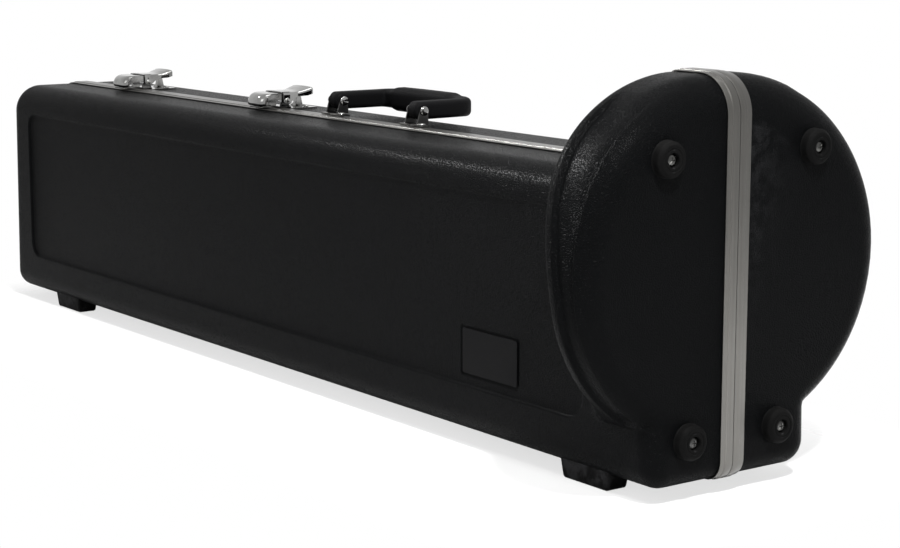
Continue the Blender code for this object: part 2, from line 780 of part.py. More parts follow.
def valance_profile(side, has_tongue):
    """(outward, across) points of the extrusion's section, where outward starts at the shell's surface."""
    outer = FIT_GAP + VALANCE_FLANGE
    rib = FIT_GAP + VALANCE_RIB
    inside = -WALL - FIT_GAP
    tongue = inside / 2
    web = PARTING_GAP + VALANCE_WEB
    points = [(rib, PARTING_GAP), (rib, VALANCE_RIB_WIDTH), (outer, VALANCE_RIB_WIDTH + VALANCE_FLANGE / 2)]
    points += [(outer, VALANCE_WIDTH), (FIT_GAP, VALANCE_WIDTH), (FIT_GAP, web), (inside, web)]
    points += [(inside, VALANCE_INNER_WIDTH), (inside - VALANCE_INNER, VALANCE_INNER_WIDTH)]
    points.append((inside - VALANCE_INNER, PARTING_GAP))
    if has_tongue:
        points += [(tongue - TONGUE_BASE / 2, PARTING_GAP), (tongue - TONGUE_TIP / 2, -TONGUE_HEIGHT)]
        points += [(tongue + TONGUE_TIP / 2, -TONGUE_HEIGHT), (tongue + TONGUE_BASE / 2, PARTING_GAP)]
    else:
        half = TONGUE_BASE / 2 + GROOVE_CLEARANCE
        points += [(tongue - half, PARTING_GAP), (tongue - half, web - VALANCE_WEB / 4)]
        points += [(tongue + half, web - VALANCE_WEB / 4), (tongue + half, PARTING_GAP)]
    return [(outward, across * side) for outward, across in points]


def build_valance(builder, half, name, material, parent, has_tongue):
    """The extrusion, bent once round the whole parting outline."""
    path = bpy.data.curves.new("rim", "CURVE")
    path.dimensions = "2D"
    path.fill_mode = "NONE"
    add_loop(path, half.rim())
    section = bpy.data.curves.new("section", "CURVE")
    section.dimensions = "2D"
    section.fill_mode = "NONE"
    add_loop(section, [(-outward, -across) for outward, across in valance_profile(half.side, has_tongue)])
    pattern = bpy.data.objects.new("section", section)
    bpy.context.scene.collection.objects.link(pattern)
    path.bevel_mode = "OBJECT"
    path.bevel_object = pattern
    mesh = curve_mesh(path, PLANE_XZ)
    bpy.data.objects.remove(pattern, do_unlink=True)
    valance = builder.add(name, mesh, material, parent=parent)
    shade(valance, 0.5)
    return valance


def hinge_axis_height():
    """The hinge pin runs just under the ribs of the two valances."""
    return -(FIT_GAP + VALANCE_RIB + FIT_GAP + HINGE_EYE_RADIUS)


def axis_placing(start, direction):
    """Puts a turned shape's own Z along a direction from a start."""
    turn = Vector((0, 0, 1)).rotation_difference(Vector(direction)).to_matrix().to_4x4()
    return Matrix.Translation(Vector(start)) @ turn


def closed_profile(points):
    return [*points, points[0]]


def headed_pin(start, direction, length, radius, head_radius, head_height, sides=PIN_SIDES):
    """A pin with a domed head just outside each end of the stated length."""
    chamfer = head_height / 3
    profile = [(0, length + head_height), (head_radius - chamfer, length + head_height)]
    profile += [(head_radius, length + head_height - chamfer), (head_radius, length), (radius, length)]
    profile += [(radius, 0), (head_radius, 0), (head_radius, chamfer - head_height)]
    profile += [(head_radius - chamfer, -head_height), (0, -head_height)]
    return turned(profile, sides, axis_placing(start, direction))


def headed_screw(start, direction, shank, radius, head_radius, head_height, sides=PIN_SIDES):
    """A screw whose head's underside is at the start and whose head points along the direction."""
    chamfer = head_height / 3
    profile = [(0, head_height), (head_radius - chamfer, head_height), (head_radius, head_height - chamfer)]
    profile += [(head_radius, 0), (radius, 0), (radius, -shank), (0, -shank)]
    return turned(profile, sides, axis_placing(start, direction))


def bell_profile():
    """(radius, distance back from the bell's mouth) of the recess that the bell lies in."""
    found = [(0, 0), (BELL_RADIUS, 0)]
    for k in range(BELL_STEPS + 1):
        share = k / BELL_STEPS
        radius = mix(BELL_NECK_RADIUS, BELL_RADIUS, (1 - share) ** BELL_FLARE_POWER)
        found.append((radius, mix(BELL_RIM_LENGTH, BELL_RUN, share)))
    return [*found, (0, BELL_RUN + BELL_NECK_RADIUS)]


def bell_recess():
    start = (BELL_FRONT, BELL_AXIS_DEPTH, BELL_AXIS_HEIGHT)
    return turned(bell_profile(), BELL_SIDES, axis_placing(start, (-1, 0, 0)))


def bell_slot():
    """The bell's outline seen from the lid, open from its widest plane to the liner's face."""
    front = BELL_FRONT + SLOT_EXTRA
    upper = [(front - back, radius + SLOT_EXTRA) for radius, back in bell_profile()[1:-1]]
    outline = [(x, BELL_AXIS_HEIGHT + half) for x, half in upper]
    outline += [(x, BELL_AXIS_HEIGHT - half) for x, half in reversed(upper)]
    return extruded([outline], -BELL_AXIS_DEPTH - SLOT_LAP, OVERRUN, PLANE_XZ)


def tube_path(offset, longer=0):
    """The tuning slide's bend, offset outwards, as (x, z) from the bell's tube round to the return tube."""
    middle = (BELL_AXIS_HEIGHT + TUBE_RETURN_HEIGHT) / 2
    radius = TUBE_BEND_RADIUS + offset
    bend = arc((TUBE_BEND_X, middle), radius, QUARTER, 3 * QUARTER, BEND_STEPS)
    return [(TUBE_START + longer, middle + radius), *bend, (TUBE_RETURN_END + longer, middle - radius)]


def tube_recess():
    path = [(x, BELL_AXIS_DEPTH, z) for x, z in tube_path(0)]
    return wire_mesh(path, TUBE_RADIUS)


def tube_slot():
    half = TUBE_RADIUS + SLOT_EXTRA
    outline = tube_path(half, SLOT_EXTRA) + list(reversed(tube_path(-half, SLOT_EXTRA)))
    return extruded([outline], -BELL_AXIS_DEPTH - TUBE_SLOT_LAP, OVERRUN, PLANE_XZ)


def mouthpiece_pocket():
    """Wide for the cup, narrow for the shank."""
    step = MOUTHPIECE_START + MOUTHPIECE_CUP_LENGTH
    end = MOUTHPIECE_START + MOUTHPIECE_LENGTH
    upper = [(MOUTHPIECE_START, MOUTHPIECE_RADIUS), (step, MOUTHPIECE_RADIUS)]
    upper += [(step + MOUTHPIECE_SHANK_RADIUS, MOUTHPIECE_SHANK_RADIUS), (end, MOUTHPIECE_SHANK_RADIUS)]
    outline = [(x, MOUTHPIECE_HEIGHT - half) for x, half in upper]
    outline += [(x, MOUTHPIECE_HEIGHT + half) for x, half in reversed(upper)]
    return extruded([outline], -LINER_SETBACK - MOUTHPIECE_DEPTH, OVERRUN, PLANE_XZ)


def pocket(low, high, side, depth, corner=POCKET_CORNER):
    """A round-cornered pocket sunk into the liner's face on one side of the seam."""
    outline = [rounded_rectangle(low, high, corner)]
    deep = -side * (LINER_SETBACK + depth)
    past = side * OVERRUN
    return extruded(outline, min(deep, past), max(deep, past), PLANE_XZ)


def build_liner(builder, half, name, material, parent):
    """Foam that fills the shell up to the parting plane."""
    margin = WALL + FIT_GAP + VALANCE_INNER + FIT_GAP
    liner = builder.add(name, half.solid(margin=margin, relief=False), material, parent=parent)
    builder.cut(liner, half.beyond_parting(LINER_SETBACK))
    builder.cut(liner, bell_recess())
    return liner


def build_base_liner(builder, half, material):
    liner = build_liner(builder, half, "liner_base", material, builder.root)
    cuts = [bell_slot(), tube_recess(), tube_slot(), mouthpiece_pocket()]
    low, high = (FLAP_POCKET_END, CARE_POCKET_LOW), (FLAP_POCKET_START, CARE_POCKET_HIGH)
    cuts.append(pocket(low, high, half.side, CARE_POCKET_DEPTH))
    low, high = (FLAP_POCKET_END, FLAP_POCKET_LOW), (FLAP_POCKET_START, FLAP_POCKET_HIGH)
    cuts.append(pocket(low, high, half.side, FLAP_POCKET_DEPTH))
    low, high = flap_extent()
    room = Vector((FLAP_CLEARANCE, FLAP_CLEARANCE))
    top = Vector((0, FLAP_BARREL_RADIUS + FLAP_STRIP_WIDTH))
    rebate = FLAP_SETBACK + FLAP_THICKNESS + FIT_GAP
    cuts.append(pocket(low - room, high + room + top, half.side, rebate, FLAP_CORNER))
    start, end = low.x - FIT_GAP, high.x + FIT_GAP
    y, z = flap_axis()
    cuts.append(rod_mesh((start, y, z), (end, y, z), FLAP_BARREL_RADIUS + FLAP_CLEARANCE))
    for mesh in cuts:
        builder.cut(liner, mesh)
    shade(liner)


def build_lid_liner(builder, half, material, parent):
    liner = build_liner(builder, half, "liner_lid", material, parent)
    low = (SLIDE_POCKET_END, SLIDE_POCKET_LOW)
    high = (SLIDE_POCKET_START, SLIDE_POCKET_HIGH)
    builder.cut(liner, pocket(low, high, half.side, SLIDE_POCKET_DEPTH, SLIDE_POCKET_CORNER))
    for x in KEEPER_PLACES:
        z = SLIDE_POCKET_LOW - KEEPER_POST_DROP
        low = (x - KEEPER_REACH - KEEPER_ROOM, z - KEEPER_TAIL - KEEPER_ROOM)
        high = (x + KEEPER_HALF + KEEPER_ROOM, SLIDE_POCKET_LOW + POCKET_CORNER)
        builder.cut(liner, pocket(low, high, half.side, KEEPER_SHELF_DEPTH, KEEPER_ROOM))
        shelf = half.side * (LINER_SETBACK + KEEPER_SHELF_DEPTH)
        hole = Vector((x, shelf, z))
        past = Vector((0, -half.side * OVERRUN, 0))
        deep = Vector((0, half.side * KEEPER_SCREW_LENGTH, 0))
        builder.cut(liner, rod_mesh(hole + past, hole + deep, KEEPER_SCREW_RADIUS + HOLE_GAP))
    shade(liner)


def flap_axis():
    """(y, z) of the flap's hinge pin."""
    return LINER_SETBACK + FLAP_SETBACK + FLAP_THICKNESS / 2, FLAP_AXIS_HEIGHT


def flap_extent():
    """The flap's lower left and upper right corners in the parting plane."""
    low = Vector((FLAP_POCKET_END - FLAP_SIDE_LAP, FLAP_POCKET_LOW - FLAP_LOWER_LAP))
    high = Vector((FLAP_POCKET_START + FLAP_SIDE_LAP, FLAP_AXIS_HEIGHT))
    return low, high


def build_flap(builder, palette):
    """The board, its hinge barrel and knob, and the fixed strip and pin that it hangs on."""
    low, high = flap_extent()
    y, z = flap_axis()
    pivot = Vector(((low.x + high.x) / 2, y, z))
    axis = builder.empty("accessory_flap_axis", pivot, builder.root)
    near = LINER_SETBACK + FLAP_SETBACK
    outline = rounded_rectangle(low, high + Vector((0, FLAP_TOP_LAP)), FLAP_CORNER)
    board = extruded([outline], -near - FLAP_THICKNESS, -near, PLANE_XZ)
    flap = builder.add("accessory_flap", board, palette.lid, pivot, axis)
    end = FLAP_EYE_LENGTH + FIT_GAP
    barrel_low, barrel_high = (low.x + end + SHEET_INSET, y, z), (high.x - end - SHEET_INSET, y, z)
    for side in (low.x, high.x):
        inner = side + math.copysign(end, pivot.x - side)
        outer = side + math.copysign(OVERRUN, side - pivot.x)
        span = sorted((inner, outer))
        notch_low = (span[0], y - FLAP_THICKNESS, z - FLAP_BARREL_RADIUS - FIT_GAP)
        notch_high = (span[1], y + FLAP_THICKNESS, z + FLAP_THICKNESS)
        builder.cut(flap, box_mesh(notch_low, notch_high))
    builder.join(flap, rod_mesh(barrel_low, barrel_high, FLAP_BARREL_RADIUS))
    hole = FLAP_PIN_RADIUS + HOLE_GAP
    builder.cut(flap, rod_mesh((low.x - OVERRUN, y, z), (high.x + OVERRUN, y, z), hole))
    shade(flap)
    build_flap_strip(builder, palette, low.x, high.x)
    pin = rod_mesh((low.x, y, z), (high.x, y, z), FLAP_PIN_RADIUS)
    shade(builder.add("accessory_hinge_pin", pin, palette.steel))
    knob_at = (pivot.x, near - FIT_GAP, low.y + KNOB_ABOVE_EDGE)
    profile = [(0, 0), (KNOB_NECK_RADIUS, 0), (KNOB_NECK_RADIUS, KNOB_NECK_HEIGHT)]
    profile += [(KNOB_RADIUS, KNOB_NECK_HEIGHT), (KNOB_RADIUS, KNOB_HEIGHT - KNOB_ROUND)]
    profile += [(KNOB_RADIUS - KNOB_ROUND, KNOB_HEIGHT), (0, KNOB_HEIGHT)]
    knob = turned(profile[::-1], PIN_SIDES, axis_placing(knob_at, (0, -1, 0)))
    shade(builder.add("accessory_knob", knob, palette.keeper, pivot, axis))


def build_flap_strip(builder, palette, left, right):
    """The fixed half of the flap's hinge: a strip above the barrel, with an eye at each end."""
    y, z = flap_axis()
    far = LINER_SETBACK + FLAP_SETBACK + FLAP_THICKNESS
    low = (left, far - FLAP_STRIP_THICKNESS, z)
    high = (right, far, z + FLAP_BARREL_RADIUS + FLAP_STRIP_WIDTH)
    strip = builder.add("accessory_hinge_strip", box_mesh(low, high), palette.steel)
    for start in (left + SHEET_INSET, right - SHEET_INSET - FLAP_EYE_LENGTH):
        builder.join(strip, rod_mesh((start, y, z), (start + FLAP_EYE_LENGTH, y, z), FLAP_BARREL_RADIUS))
    hole = FLAP_PIN_RADIUS + HOLE_GAP
    builder.cut(strip, rod_mesh((left - OVERRUN, y, z), (right + OVERRUN, y, z), hole))
    room_start, room_end = (left + FLAP_EYE_LENGTH, y, z), (right - FLAP_EYE_LENGTH, y, z)
    builder.cut(strip, rod_mesh(room_start, room_end, FLAP_BARREL_RADIUS + FLAP_CLEARANCE))
    shade(strip)


def build_keeper(builder, palette, name, x, lid_axis):
    """A turn button on the lid liner's shelf, and the screw that it turns on."""
    z = SLIDE_POCKET_LOW - KEEPER_POST_DROP
    floor = LINER_SETBACK + KEEPER_SHELF_DEPTH
    pivot = Vector((x, -floor, z))
    axis = builder.empty(f"{name}_axis", pivot, lid_axis)
    outline = arc((x, z + KEEPER_REACH - KEEPER_HALF), KEEPER_HALF, 0, 2 * QUARTER, CORNER_STEPS)
    outline += arc((x, z), KEEPER_HALF, 2 * QUARTER, 4 * QUARTER, CORNER_STEPS)
    inner = floor - FIT_GAP - KEEPER_THICKNESS
    body = extruded([outline], inner, floor - FIT_GAP, PLANE_XZ)
    keeper = builder.add(name, body, palette.keeper, pivot, axis)
    bevel_edges(keeper, KEEPER_EDGE, 1)
    hole_low, hole_high = (x, -inner + OVERRUN, z), (x, -floor - OVERRUN, z)
    builder.cut(keeper, rod_mesh(hole_low, hole_high, KEEPER_SCREW_RADIUS + HOLE_GAP))
    shade(keeper)
    head = (x, -inner + FIT_GAP, z)
    length = KEEPER_THICKNESS + KEEPER_SCREW_LENGTH - FIT_GAP
    screw = headed_screw(
        head, (0, 1, 0), length, KEEPER_SCREW_RADIUS, KEEPER_HEAD_RADIUS, KEEPER_HEAD_HEIGHT
    )
    shade(builder.add(f"{name}_screw", screw, palette.steel, parent=lid_axis))


def stepped_section(near, far, sheet):
    """(from the seam, above the shell) points of a plate that crosses the valance's edge."""
    low = FIT_GAP
    high = FIT_GAP + VALANCE_RIB + FIT_GAP
    step = VALANCE_WIDTH + STEP_CLEARANCE
    points = [(near, high), (step, high), (step + STEP_RUN, low), (far, low), (far, low + sheet)]
    points += [(step + STEP_RUN + STEP_SKEW, low + sheet), (step + STEP_SKEW, high + sheet)]
    return [*points, (near, high + sheet)]


def on_top(points):
    return [(y, BOX_HEIGHT + z) for y, z in points]


def plate_top(sheet):
    """How far the upper side of a plate on the valance stands above the shell."""
    return FIT_GAP + VALANCE_RIB + FIT_GAP + sheet


class Latch:
    """One draw latch: its plate, strike, lever and hook, all about an X place on the case's top."""

    def __init__(self, builder, palette, name, x, lid_axis):
        self.builder = builder
        self.palette = palette
        self.name = name
        self.x = x
        self.lid_axis = lid_axis
        self.pivot = Vector((x, LATCH_PIVOT_Y, BOX_HEIGHT + LATCH_PIVOT_Z))
        self.hook_pivot = self.pivot + Vector((0, 0, HOOK_RISE))
        self.lever_axis = builder.empty(f"latch_lever_{name}_axis", self.pivot, builder.root)
        self.hook_axis = builder.empty(f"latch_hook_{name}_axis", self.hook_pivot, self.lever_axis)

    def slab(self, points, left, right):
        """A section in the latch's frame, extruded between two places measured from its middle."""
        return extruded([on_top(points)], self.x + left, self.x + right, PLANE_YZ)

    def pair(self, node, points, inner, outer):
        """Joins a section to a node on both sides of the latch's middle."""
        self.builder.join(node, self.slab(points, inner, outer))
        self.builder.join(node, self.slab(points, -outer, -inner))

    def bore(self, node, centre, radius):
        reach = Vector((LATCH_PLATE_HALF + OVERRUN, 0, 0))
        self.builder.cut(node, rod_mesh(centre - reach, centre + reach, radius + HOLE_GAP))

    def build(self):
        self.build_plate()
        self.build_strike()
        self.build_lever()
        self.build_hook()
        self.build_pins()

    def build_plate(self):
        section = stepped_section(LATCH_PLATE_NEAR, LATCH_PLATE_FAR, LATCH_SHEET)
        slab = self.slab(section, -LATCH_PLATE_HALF, LATCH_PLATE_HALF)
        plate = self.builder.add(f"latch_plate_{self.name}", slab, self.palette.chrome)
        centre = (LATCH_PIVOT_Y, LATCH_PIVOT_Z)
        foot = plate_top(LATCH_SHEET) - LATCH_EAR_SINK
        ear = [(LATCH_EAR_NEAR, foot), (VALANCE_WIDTH, foot), (LATCH_EAR_FAR, FIT_GAP + LATCH_EAR_SINK)]
        ear += [(LATCH_EAR_FAR, foot), *arc(centre, LATCH_EAR_ROUND, 0, 2 * QUARTER, CORNER_STEPS)]
        self.pair(plate, ear, LATCH_EAR_INNER, LATCH_EAR_OUTER)
        self.bore(plate, self.pivot, LATCH_PIN_RADIUS)
        top = BOX_HEIGHT + FIT_GAP + LATCH_SHEET
        for label, offset in (("a", -LATCH_RIVET_X), ("b", LATCH_RIVET_X)):
            spot = Vector((self.x + offset, LATCH_RIVET_Y, top))
            through = Vector((0, 0, OVERRUN))
            self.builder.cut(plate, rod_mesh(spot - through, spot + through, RIVET_SHANK_RADIUS + HOLE_GAP))
            head = spot + Vector((0, 0, FIT_GAP))
            rivet = headed_screw(
                head, (0, 0, 1), LATCH_SHEET, RIVET_SHANK_RADIUS, RIVET_HEAD_RADIUS, RIVET_HEAD_HEIGHT
            )
            shade(self.builder.add(f"latch_rivet_{self.name}_{label}", rivet, self.palette.steel))
        shade(plate)

    def build_strike(self):
        low, high = plate_top(0), plate_top(LATCH_SHEET)
        lip = STRIKE_LIP_TOP - LATCH_SHEET
        wall = STRIKE_LIP_NEAR + LATCH_SHEET
        points = [(STRIKE_NEAR, low), (STRIKE_FAR, low), (STRIKE_FAR, high), (wall, high), (wall, lip)]
        points += [(STRIKE_LIP_FAR, lip), (STRIKE_LIP_FAR, STRIKE_LIP_TOP), (STRIKE_LIP_NEAR, STRIKE_LIP_TOP)]
        points += [(STRIKE_LIP_NEAR, high), (STRIKE_NEAR, high)]
        slab = self.slab([(-y, z) for y, z in points], -STRIKE_HALF, STRIKE_HALF)
        shade(self.builder.add(f"latch_strike_{self.name}", slab, self.palette.chrome, parent=self.lid_axis))

    def build_lever(self):
        under = LEVER_TOP - LATCH_SHEET
        top = [(LEVER_NEAR, under), (LEVER_FAR, under), (LEVER_FAR, LEVER_TOP), (LEVER_NEAR, LEVER_TOP)]
        slab = self.slab(top, -LEVER_HALF, LEVER_HALF)
        lever = self.builder.add(
            f"latch_lever_{self.name}", slab, self.palette.chrome, self.pivot, self.lever_axis
        )
        mid = under + LATCH_SHEET / 2
        tab = [(LEVER_TAB_START, under + SHEET_INSET), (LEVER_FAR, under - SHEET_INSET)]
        tab += [(LEVER_TAB_REACH, LEVER_TAB_HEIGHT - LATCH_SHEET), (LEVER_TAB_REACH, LEVER_TAB_HEIGHT)]
        tab += [(LEVER_FAR - LATCH_SHEET, LEVER_TOP + SHEET_INSET), (LEVER_TAB_START, mid)]
        self.builder.join(lever, self.slab(tab, -LEVER_TAB_HALF, LEVER_TAB_HALF))
        flange = arc((LATCH_PIVOT_Y, LATCH_PIVOT_Z), LEVER_ROUND, 2 * QUARTER, 3 * QUARTER, CORNER_STEPS)
        flange += [(LEVER_KNEE_Y, LEVER_KNEE_Z), (LEVER_FLANGE_FAR, LEVER_FLANGE_TAIL)]
        flange += [(LEVER_FLANGE_FAR, mid), (LEVER_FLANGE_NEAR, mid)]
        self.pair(lever, flange, LEVER_FLANGE_INNER, LEVER_FLANGE_OUTER)
        slot = [(0, under - LATCH_SHEET), (LEVER_SLOT_FAR, under - LATCH_SHEET)]
        slot += [(LEVER_SLOT_FAR, LEVER_TOP + LATCH_SHEET), (0, LEVER_TOP + LATCH_SHEET)]
        inner, outer = HOOK_ARM_INNER - LEVER_SLOT_SIDE, HOOK_ARM_OUTER + LEVER_SLOT_SIDE
        self.builder.cut(lever, self.slab(slot, inner, outer))
        self.builder.cut(lever, self.slab(slot, -outer, -inner))
        self.bore(lever, self.pivot, LATCH_PIN_RADIUS)
        self.bore(lever, self.hook_pivot, HOOK_PIN_RADIUS)
        shade(lever, 0.5)

    def build_hook(self):
        """A pressed plate that curls down at its near end to a nib under the strike's lip."""
        inner_bend = HOOK_BEND_RADIUS - LATCH_SHEET
        nib_inner = HOOK_NIB_RADIUS - LATCH_SHEET
        bend = (HOOK_BEND_Y, HOOK_TOP - HOOK_BEND_RADIUS)
        curl = (HOOK_BEND_Y - HOOK_BEND_RADIUS + HOOK_NIB_RADIUS, HOOK_NIB_LOW + HOOK_NIB_RADIUS)
        points = [(HOOK_FAR, HOOK_TOP), *arc(bend, HOOK_BEND_RADIUS, QUARTER, 2 * QUARTER, CORNER_STEPS)]
        points += arc(curl, HOOK_NIB_RADIUS, 2 * QUARTER, 3 * QUARTER, CORNER_STEPS)
        points += [(HOOK_NIB_TIP, HOOK_NIB_LOW), (HOOK_NIB_TIP, HOOK_NIB_LOW + LATCH_SHEET)]
        points += arc(curl, nib_inner, 3 * QUARTER, 2 * QUARTER, 2)
        points += arc(bend, inner_bend, 2 * QUARTER, QUARTER, CORNER_STEPS)
        points.append((HOOK_FAR, HOOK_TOP - LATCH_SHEET))
        slab = self.slab(points, -HOOK_HALF, HOOK_HALF)
        hook = self.builder.add(
            f"latch_hook_{self.name}", slab, self.palette.chrome, self.hook_pivot, self.hook_axis
        )
        high, low = HOOK_TOP - SHEET_INSET, HOOK_TOP - LATCH_SHEET + SHEET_INSET
        boss = (LATCH_PIVOT_Y, LATCH_PIVOT_Z + HOOK_RISE)
        arm = [(HOOK_ARM_END, high), (HOOK_ARM_END, low), (HOOK_FAR, low)]
        arm += [*arc(boss, HOOK_BOSS_RADIUS, -QUARTER, QUARTER, 2 * CORNER_STEPS), (HOOK_FAR, high)]
        self.pair(hook, arm, HOOK_ARM_INNER, HOOK_ARM_OUTER)
        self.bore(hook, self.hook_pivot, HOOK_PIN_RADIUS)
        shade(hook, 0.5)

    def build_pins(self):
        reach = Vector((LEVER_FLANGE_OUTER + FIT_GAP, 0, 0))
        start, length = self.pivot - reach, reach.x * 2
        pin = headed_pin(
            start, (1, 0, 0), length, LATCH_PIN_RADIUS, LATCH_PIN_HEAD_RADIUS, LATCH_PIN_HEAD
        )
        shade(self.builder.add(f"latch_pin_{self.name}", pin, self.palette.steel))
        across = Vector((LEVER_FLANGE_OUTER, 0, 0))
        hook_pin = rod_mesh(self.hook_pivot - across, self.hook_pivot + across, HOOK_PIN_RADIUS)
        shade(
            self.builder.add(
                f"latch_hook_pin_{self.name}", hook_pin, self.palette.steel, self.hook_pivot, self.lever_axis
            )
        )


def handle_pivot():
    return Vector((HANDLE_CENTRE_X, HANDLE_PIVOT_Y, BOX_HEIGHT + HANDLE_PIVOT_HEIGHT))


def build_handle(builder, palette):
    """A moulded handle that lies folded over the base half."""
    pivot = handle_pivot()
    axis = builder.empty("handle_axis", pivot, builder.root)
    outer = (HANDLE_PIVOT_SPACING + HANDLE_LEG_WIDTH) / 2
    inner = (HANDLE_PIVOT_SPACING - HANDLE_LEG_WIDTH) / 2
    grip_near = HANDLE_REACH - HANDLE_GRIP_DEPTH
    inner_taper = HANDLE_TAPER * (grip_near - HANDLE_LEG_STRAIGHT) / (HANDLE_REACH - HANDLE_LEG_STRAIGHT)
    corner = (outer - HANDLE_TAPER - HANDLE_CORNER, HANDLE_REACH - HANDLE_CORNER)
    right = [(inner, HANDLE_LEG_STRAIGHT), (inner, -HANDLE_LEG_END)]
    right += [(outer, -HANDLE_LEG_END), (outer, HANDLE_LEG_STRAIGHT)]
    right += arc(corner, HANDLE_CORNER, 0, QUARTER, CORNER_STEPS)
    left = [(-x, y) for x, y in reversed(right)]
    window = [(-inner + inner_taper, grip_near), (inner - inner_taper, grip_near)]
    outline = [(pivot.x + x, pivot.y + y) for x, y in right + left + window]
    half = HANDLE_LEG_HEIGHT / 2
    body = extruded([outline], pivot.z - half, pivot.z + half, PLANE_XY)
    handle = builder.add("handle", body, palette.handle, pivot, axis)
    bevel_edges(handle, HANDLE_EDGE_RADIUS, 2)
    reach = Vector((inner, 0, 0))
    middle = pivot + Vector((0, HANDLE_REACH - HANDLE_GRIP_DEPTH / 2, 0))
    builder.join(handle, rod_mesh(middle - reach, middle + reach, HANDLE_GRIP_RADIUS, EYE_SIDES))
    across = Vector((outer + OVERRUN, 0, 0))
    builder.cut(handle, rod_mesh(pivot - across, pivot + across, HANDLE_PIN_RADIUS + HOLE_GAP))
    shade(handle)
    for name, side in (("left", -1), ("right", 1)):
        build_bracket(builder, palette, name, pivot.x + side * HANDLE_PIVOT_SPACING / 2)


def build_bracket(builder, palette, name, x):
    """A clevis on the valance round one leg, with its pin and the screw of its tab."""
    pivot = Vector((x, HANDLE_PIVOT_Y, BOX_HEIGHT + HANDLE_PIVOT_HEIGHT))
    inner = HANDLE_LEG_WIDTH / 2 + BRACKET_SIDE_GAP
    outer = inner + BRACKET_SHEET
    section = on_top(stepped_section(BRACKET_NEAR, BRACKET_FAR, BRACKET_SHEET))
    bracket = builder.add(
        f"handle_bracket_{name}", extruded([section], x - outer, x + outer, PLANE_YZ), palette.steel
    )
    foot = BOX_HEIGHT + plate_top(BRACKET_SHEET) - LATCH_EAR_SINK
    ear = [(BRACKET_EAR_NEAR, foot), (VALANCE_WIDTH, foot), (BRACKET_FAR - BRACKET_SHEET, foot)]
    ear += arc((pivot.y, pivot.z), BRACKET_EAR_ROUND, 0, 2 * QUARTER, CORNER_STEPS)
    inset = outer - SHEET_INSET
    builder.join(bracket, extruded([ear], x + inner, x + inset, PLANE_YZ))
    builder.join(bracket, extruded([ear], x - inset, x - inner, PLANE_YZ))
    tab_low = (x, BRACKET_NEAR + SHEET_INSET, BOX_HEIGHT + plate_top(SHEET_INSET))
    tab_top = BOX_HEIGHT + plate_top(BRACKET_SHEET - SHEET_INSET)
    tab_high = (x + outer + BRACKET_TAB, BRACKET_TAB_FAR, tab_top)
    builder.join(bracket, box_mesh(tab_low, tab_high))
    across = Vector((outer + OVERRUN, 0, 0))
    builder.cut(bracket, rod_mesh(pivot - across, pivot + across, HANDLE_PIN_RADIUS + HOLE_GAP))
    screw_at = Vector((x + outer + BRACKET_TAB / 2, BRACKET_SCREW_Y, tab_top))
    through = Vector((0, 0, OVERRUN))
    builder.cut(bracket, rod_mesh(screw_at - through, screw_at + through, RIVET_SHANK_RADIUS + HOLE_GAP))
    shade(bracket, 0.5)
    head = screw_at + Vector((0, 0, FIT_GAP))
    shank = BRACKET_SHEET - SHEET_INSET
    screw = headed_screw(
        head, (0, 0, 1), shank, RIVET_SHANK_RADIUS, RIVET_HEAD_RADIUS, RIVET_HEAD_HEIGHT
    )
    shade(builder.add(f"handle_screw_{name}", screw, palette.steel))
    ends = Vector((outer + FIT_GAP, 0, 0))
    pin = headed_pin(
        pivot - ends, (1, 0, 0), ends.x * 2, HANDLE_PIN_RADIUS, PIN_HEAD_RADIUS, PIN_HEAD_HEIGHT
    )
    shade(builder.add(f"handle_pin_{name}", pin, palette.chrome))


def build_hinge_leaf(builder, palette, name, x, side, parent):
    """One leaf: the base side has the two outer eyes and the lid side the middle one."""
    half, middle = HINGE_LENGTH / 2, HINGE_MIDDLE / 2
    points = [(side * y, -z) for y, z in stepped_section(HINGE_LEAF_NEAR, HINGE_LEAF_WIDTH, HINGE_SHEET)]
    body = extruded([points], x - half, x + half, PLANE_YZ)
    leaf = builder.add(name, body, palette.steel, parent=parent)
    z = hinge_axis_height()
    outer_eyes = [(-half, -middle - FIT_GAP / 2), (middle + FIT_GAP / 2, half)]
    middle_eye = [(FIT_GAP / 2 - middle, middle - FIT_GAP / 2)]
    mine, others = (outer_eyes, middle_eye) if side == BASE_SIDE else (middle_eye, outer_eyes)
    for low, high in others:
        clear = HINGE_EYE_RADIUS + FIT_GAP
        start, end = (x + low - FIT_GAP, 0, z), (x + high + FIT_GAP, 0, z)
        builder.cut(leaf, rod_mesh(start, end, clear, EYE_SIDES))
    for low, high in mine:
        inset = SHEET_INSET
        start, end = (x + low + inset, 0, z), (x + high - inset, 0, z)
        builder.join(leaf, rod_mesh(start, end, HINGE_EYE_RADIUS, EYE_SIDES))
    start, end = (x - half - OVERRUN, 0, z), (x + half + OVERRUN, 0, z)
    builder.cut(leaf, rod_mesh(start, end, HINGE_PIN_RADIUS + HOLE_GAP))
    shade(leaf, 0.5)


def build_hinge(builder, palette, name, x, lid_axis):
    build_hinge_leaf(builder, palette, f"hinge_leaf_base_{name}", x, BASE_SIDE, builder.root)
    build_hinge_leaf(builder, palette, f"hinge_leaf_lid_{name}", x, LID_SIDE, lid_axis)
    start = (x - HINGE_LENGTH / 2 - FIT_GAP, 0, hinge_axis_height())
    length = HINGE_LENGTH + FIT_GAP * 2
    pin = headed_pin(start, (1, 0, 0), length, HINGE_PIN_RADIUS, HINGE_PIN_HEAD_RADIUS, HINGE_PIN_HEAD)
    shade(builder.add(f"hinge_pin_{name}", pin, palette.steel))


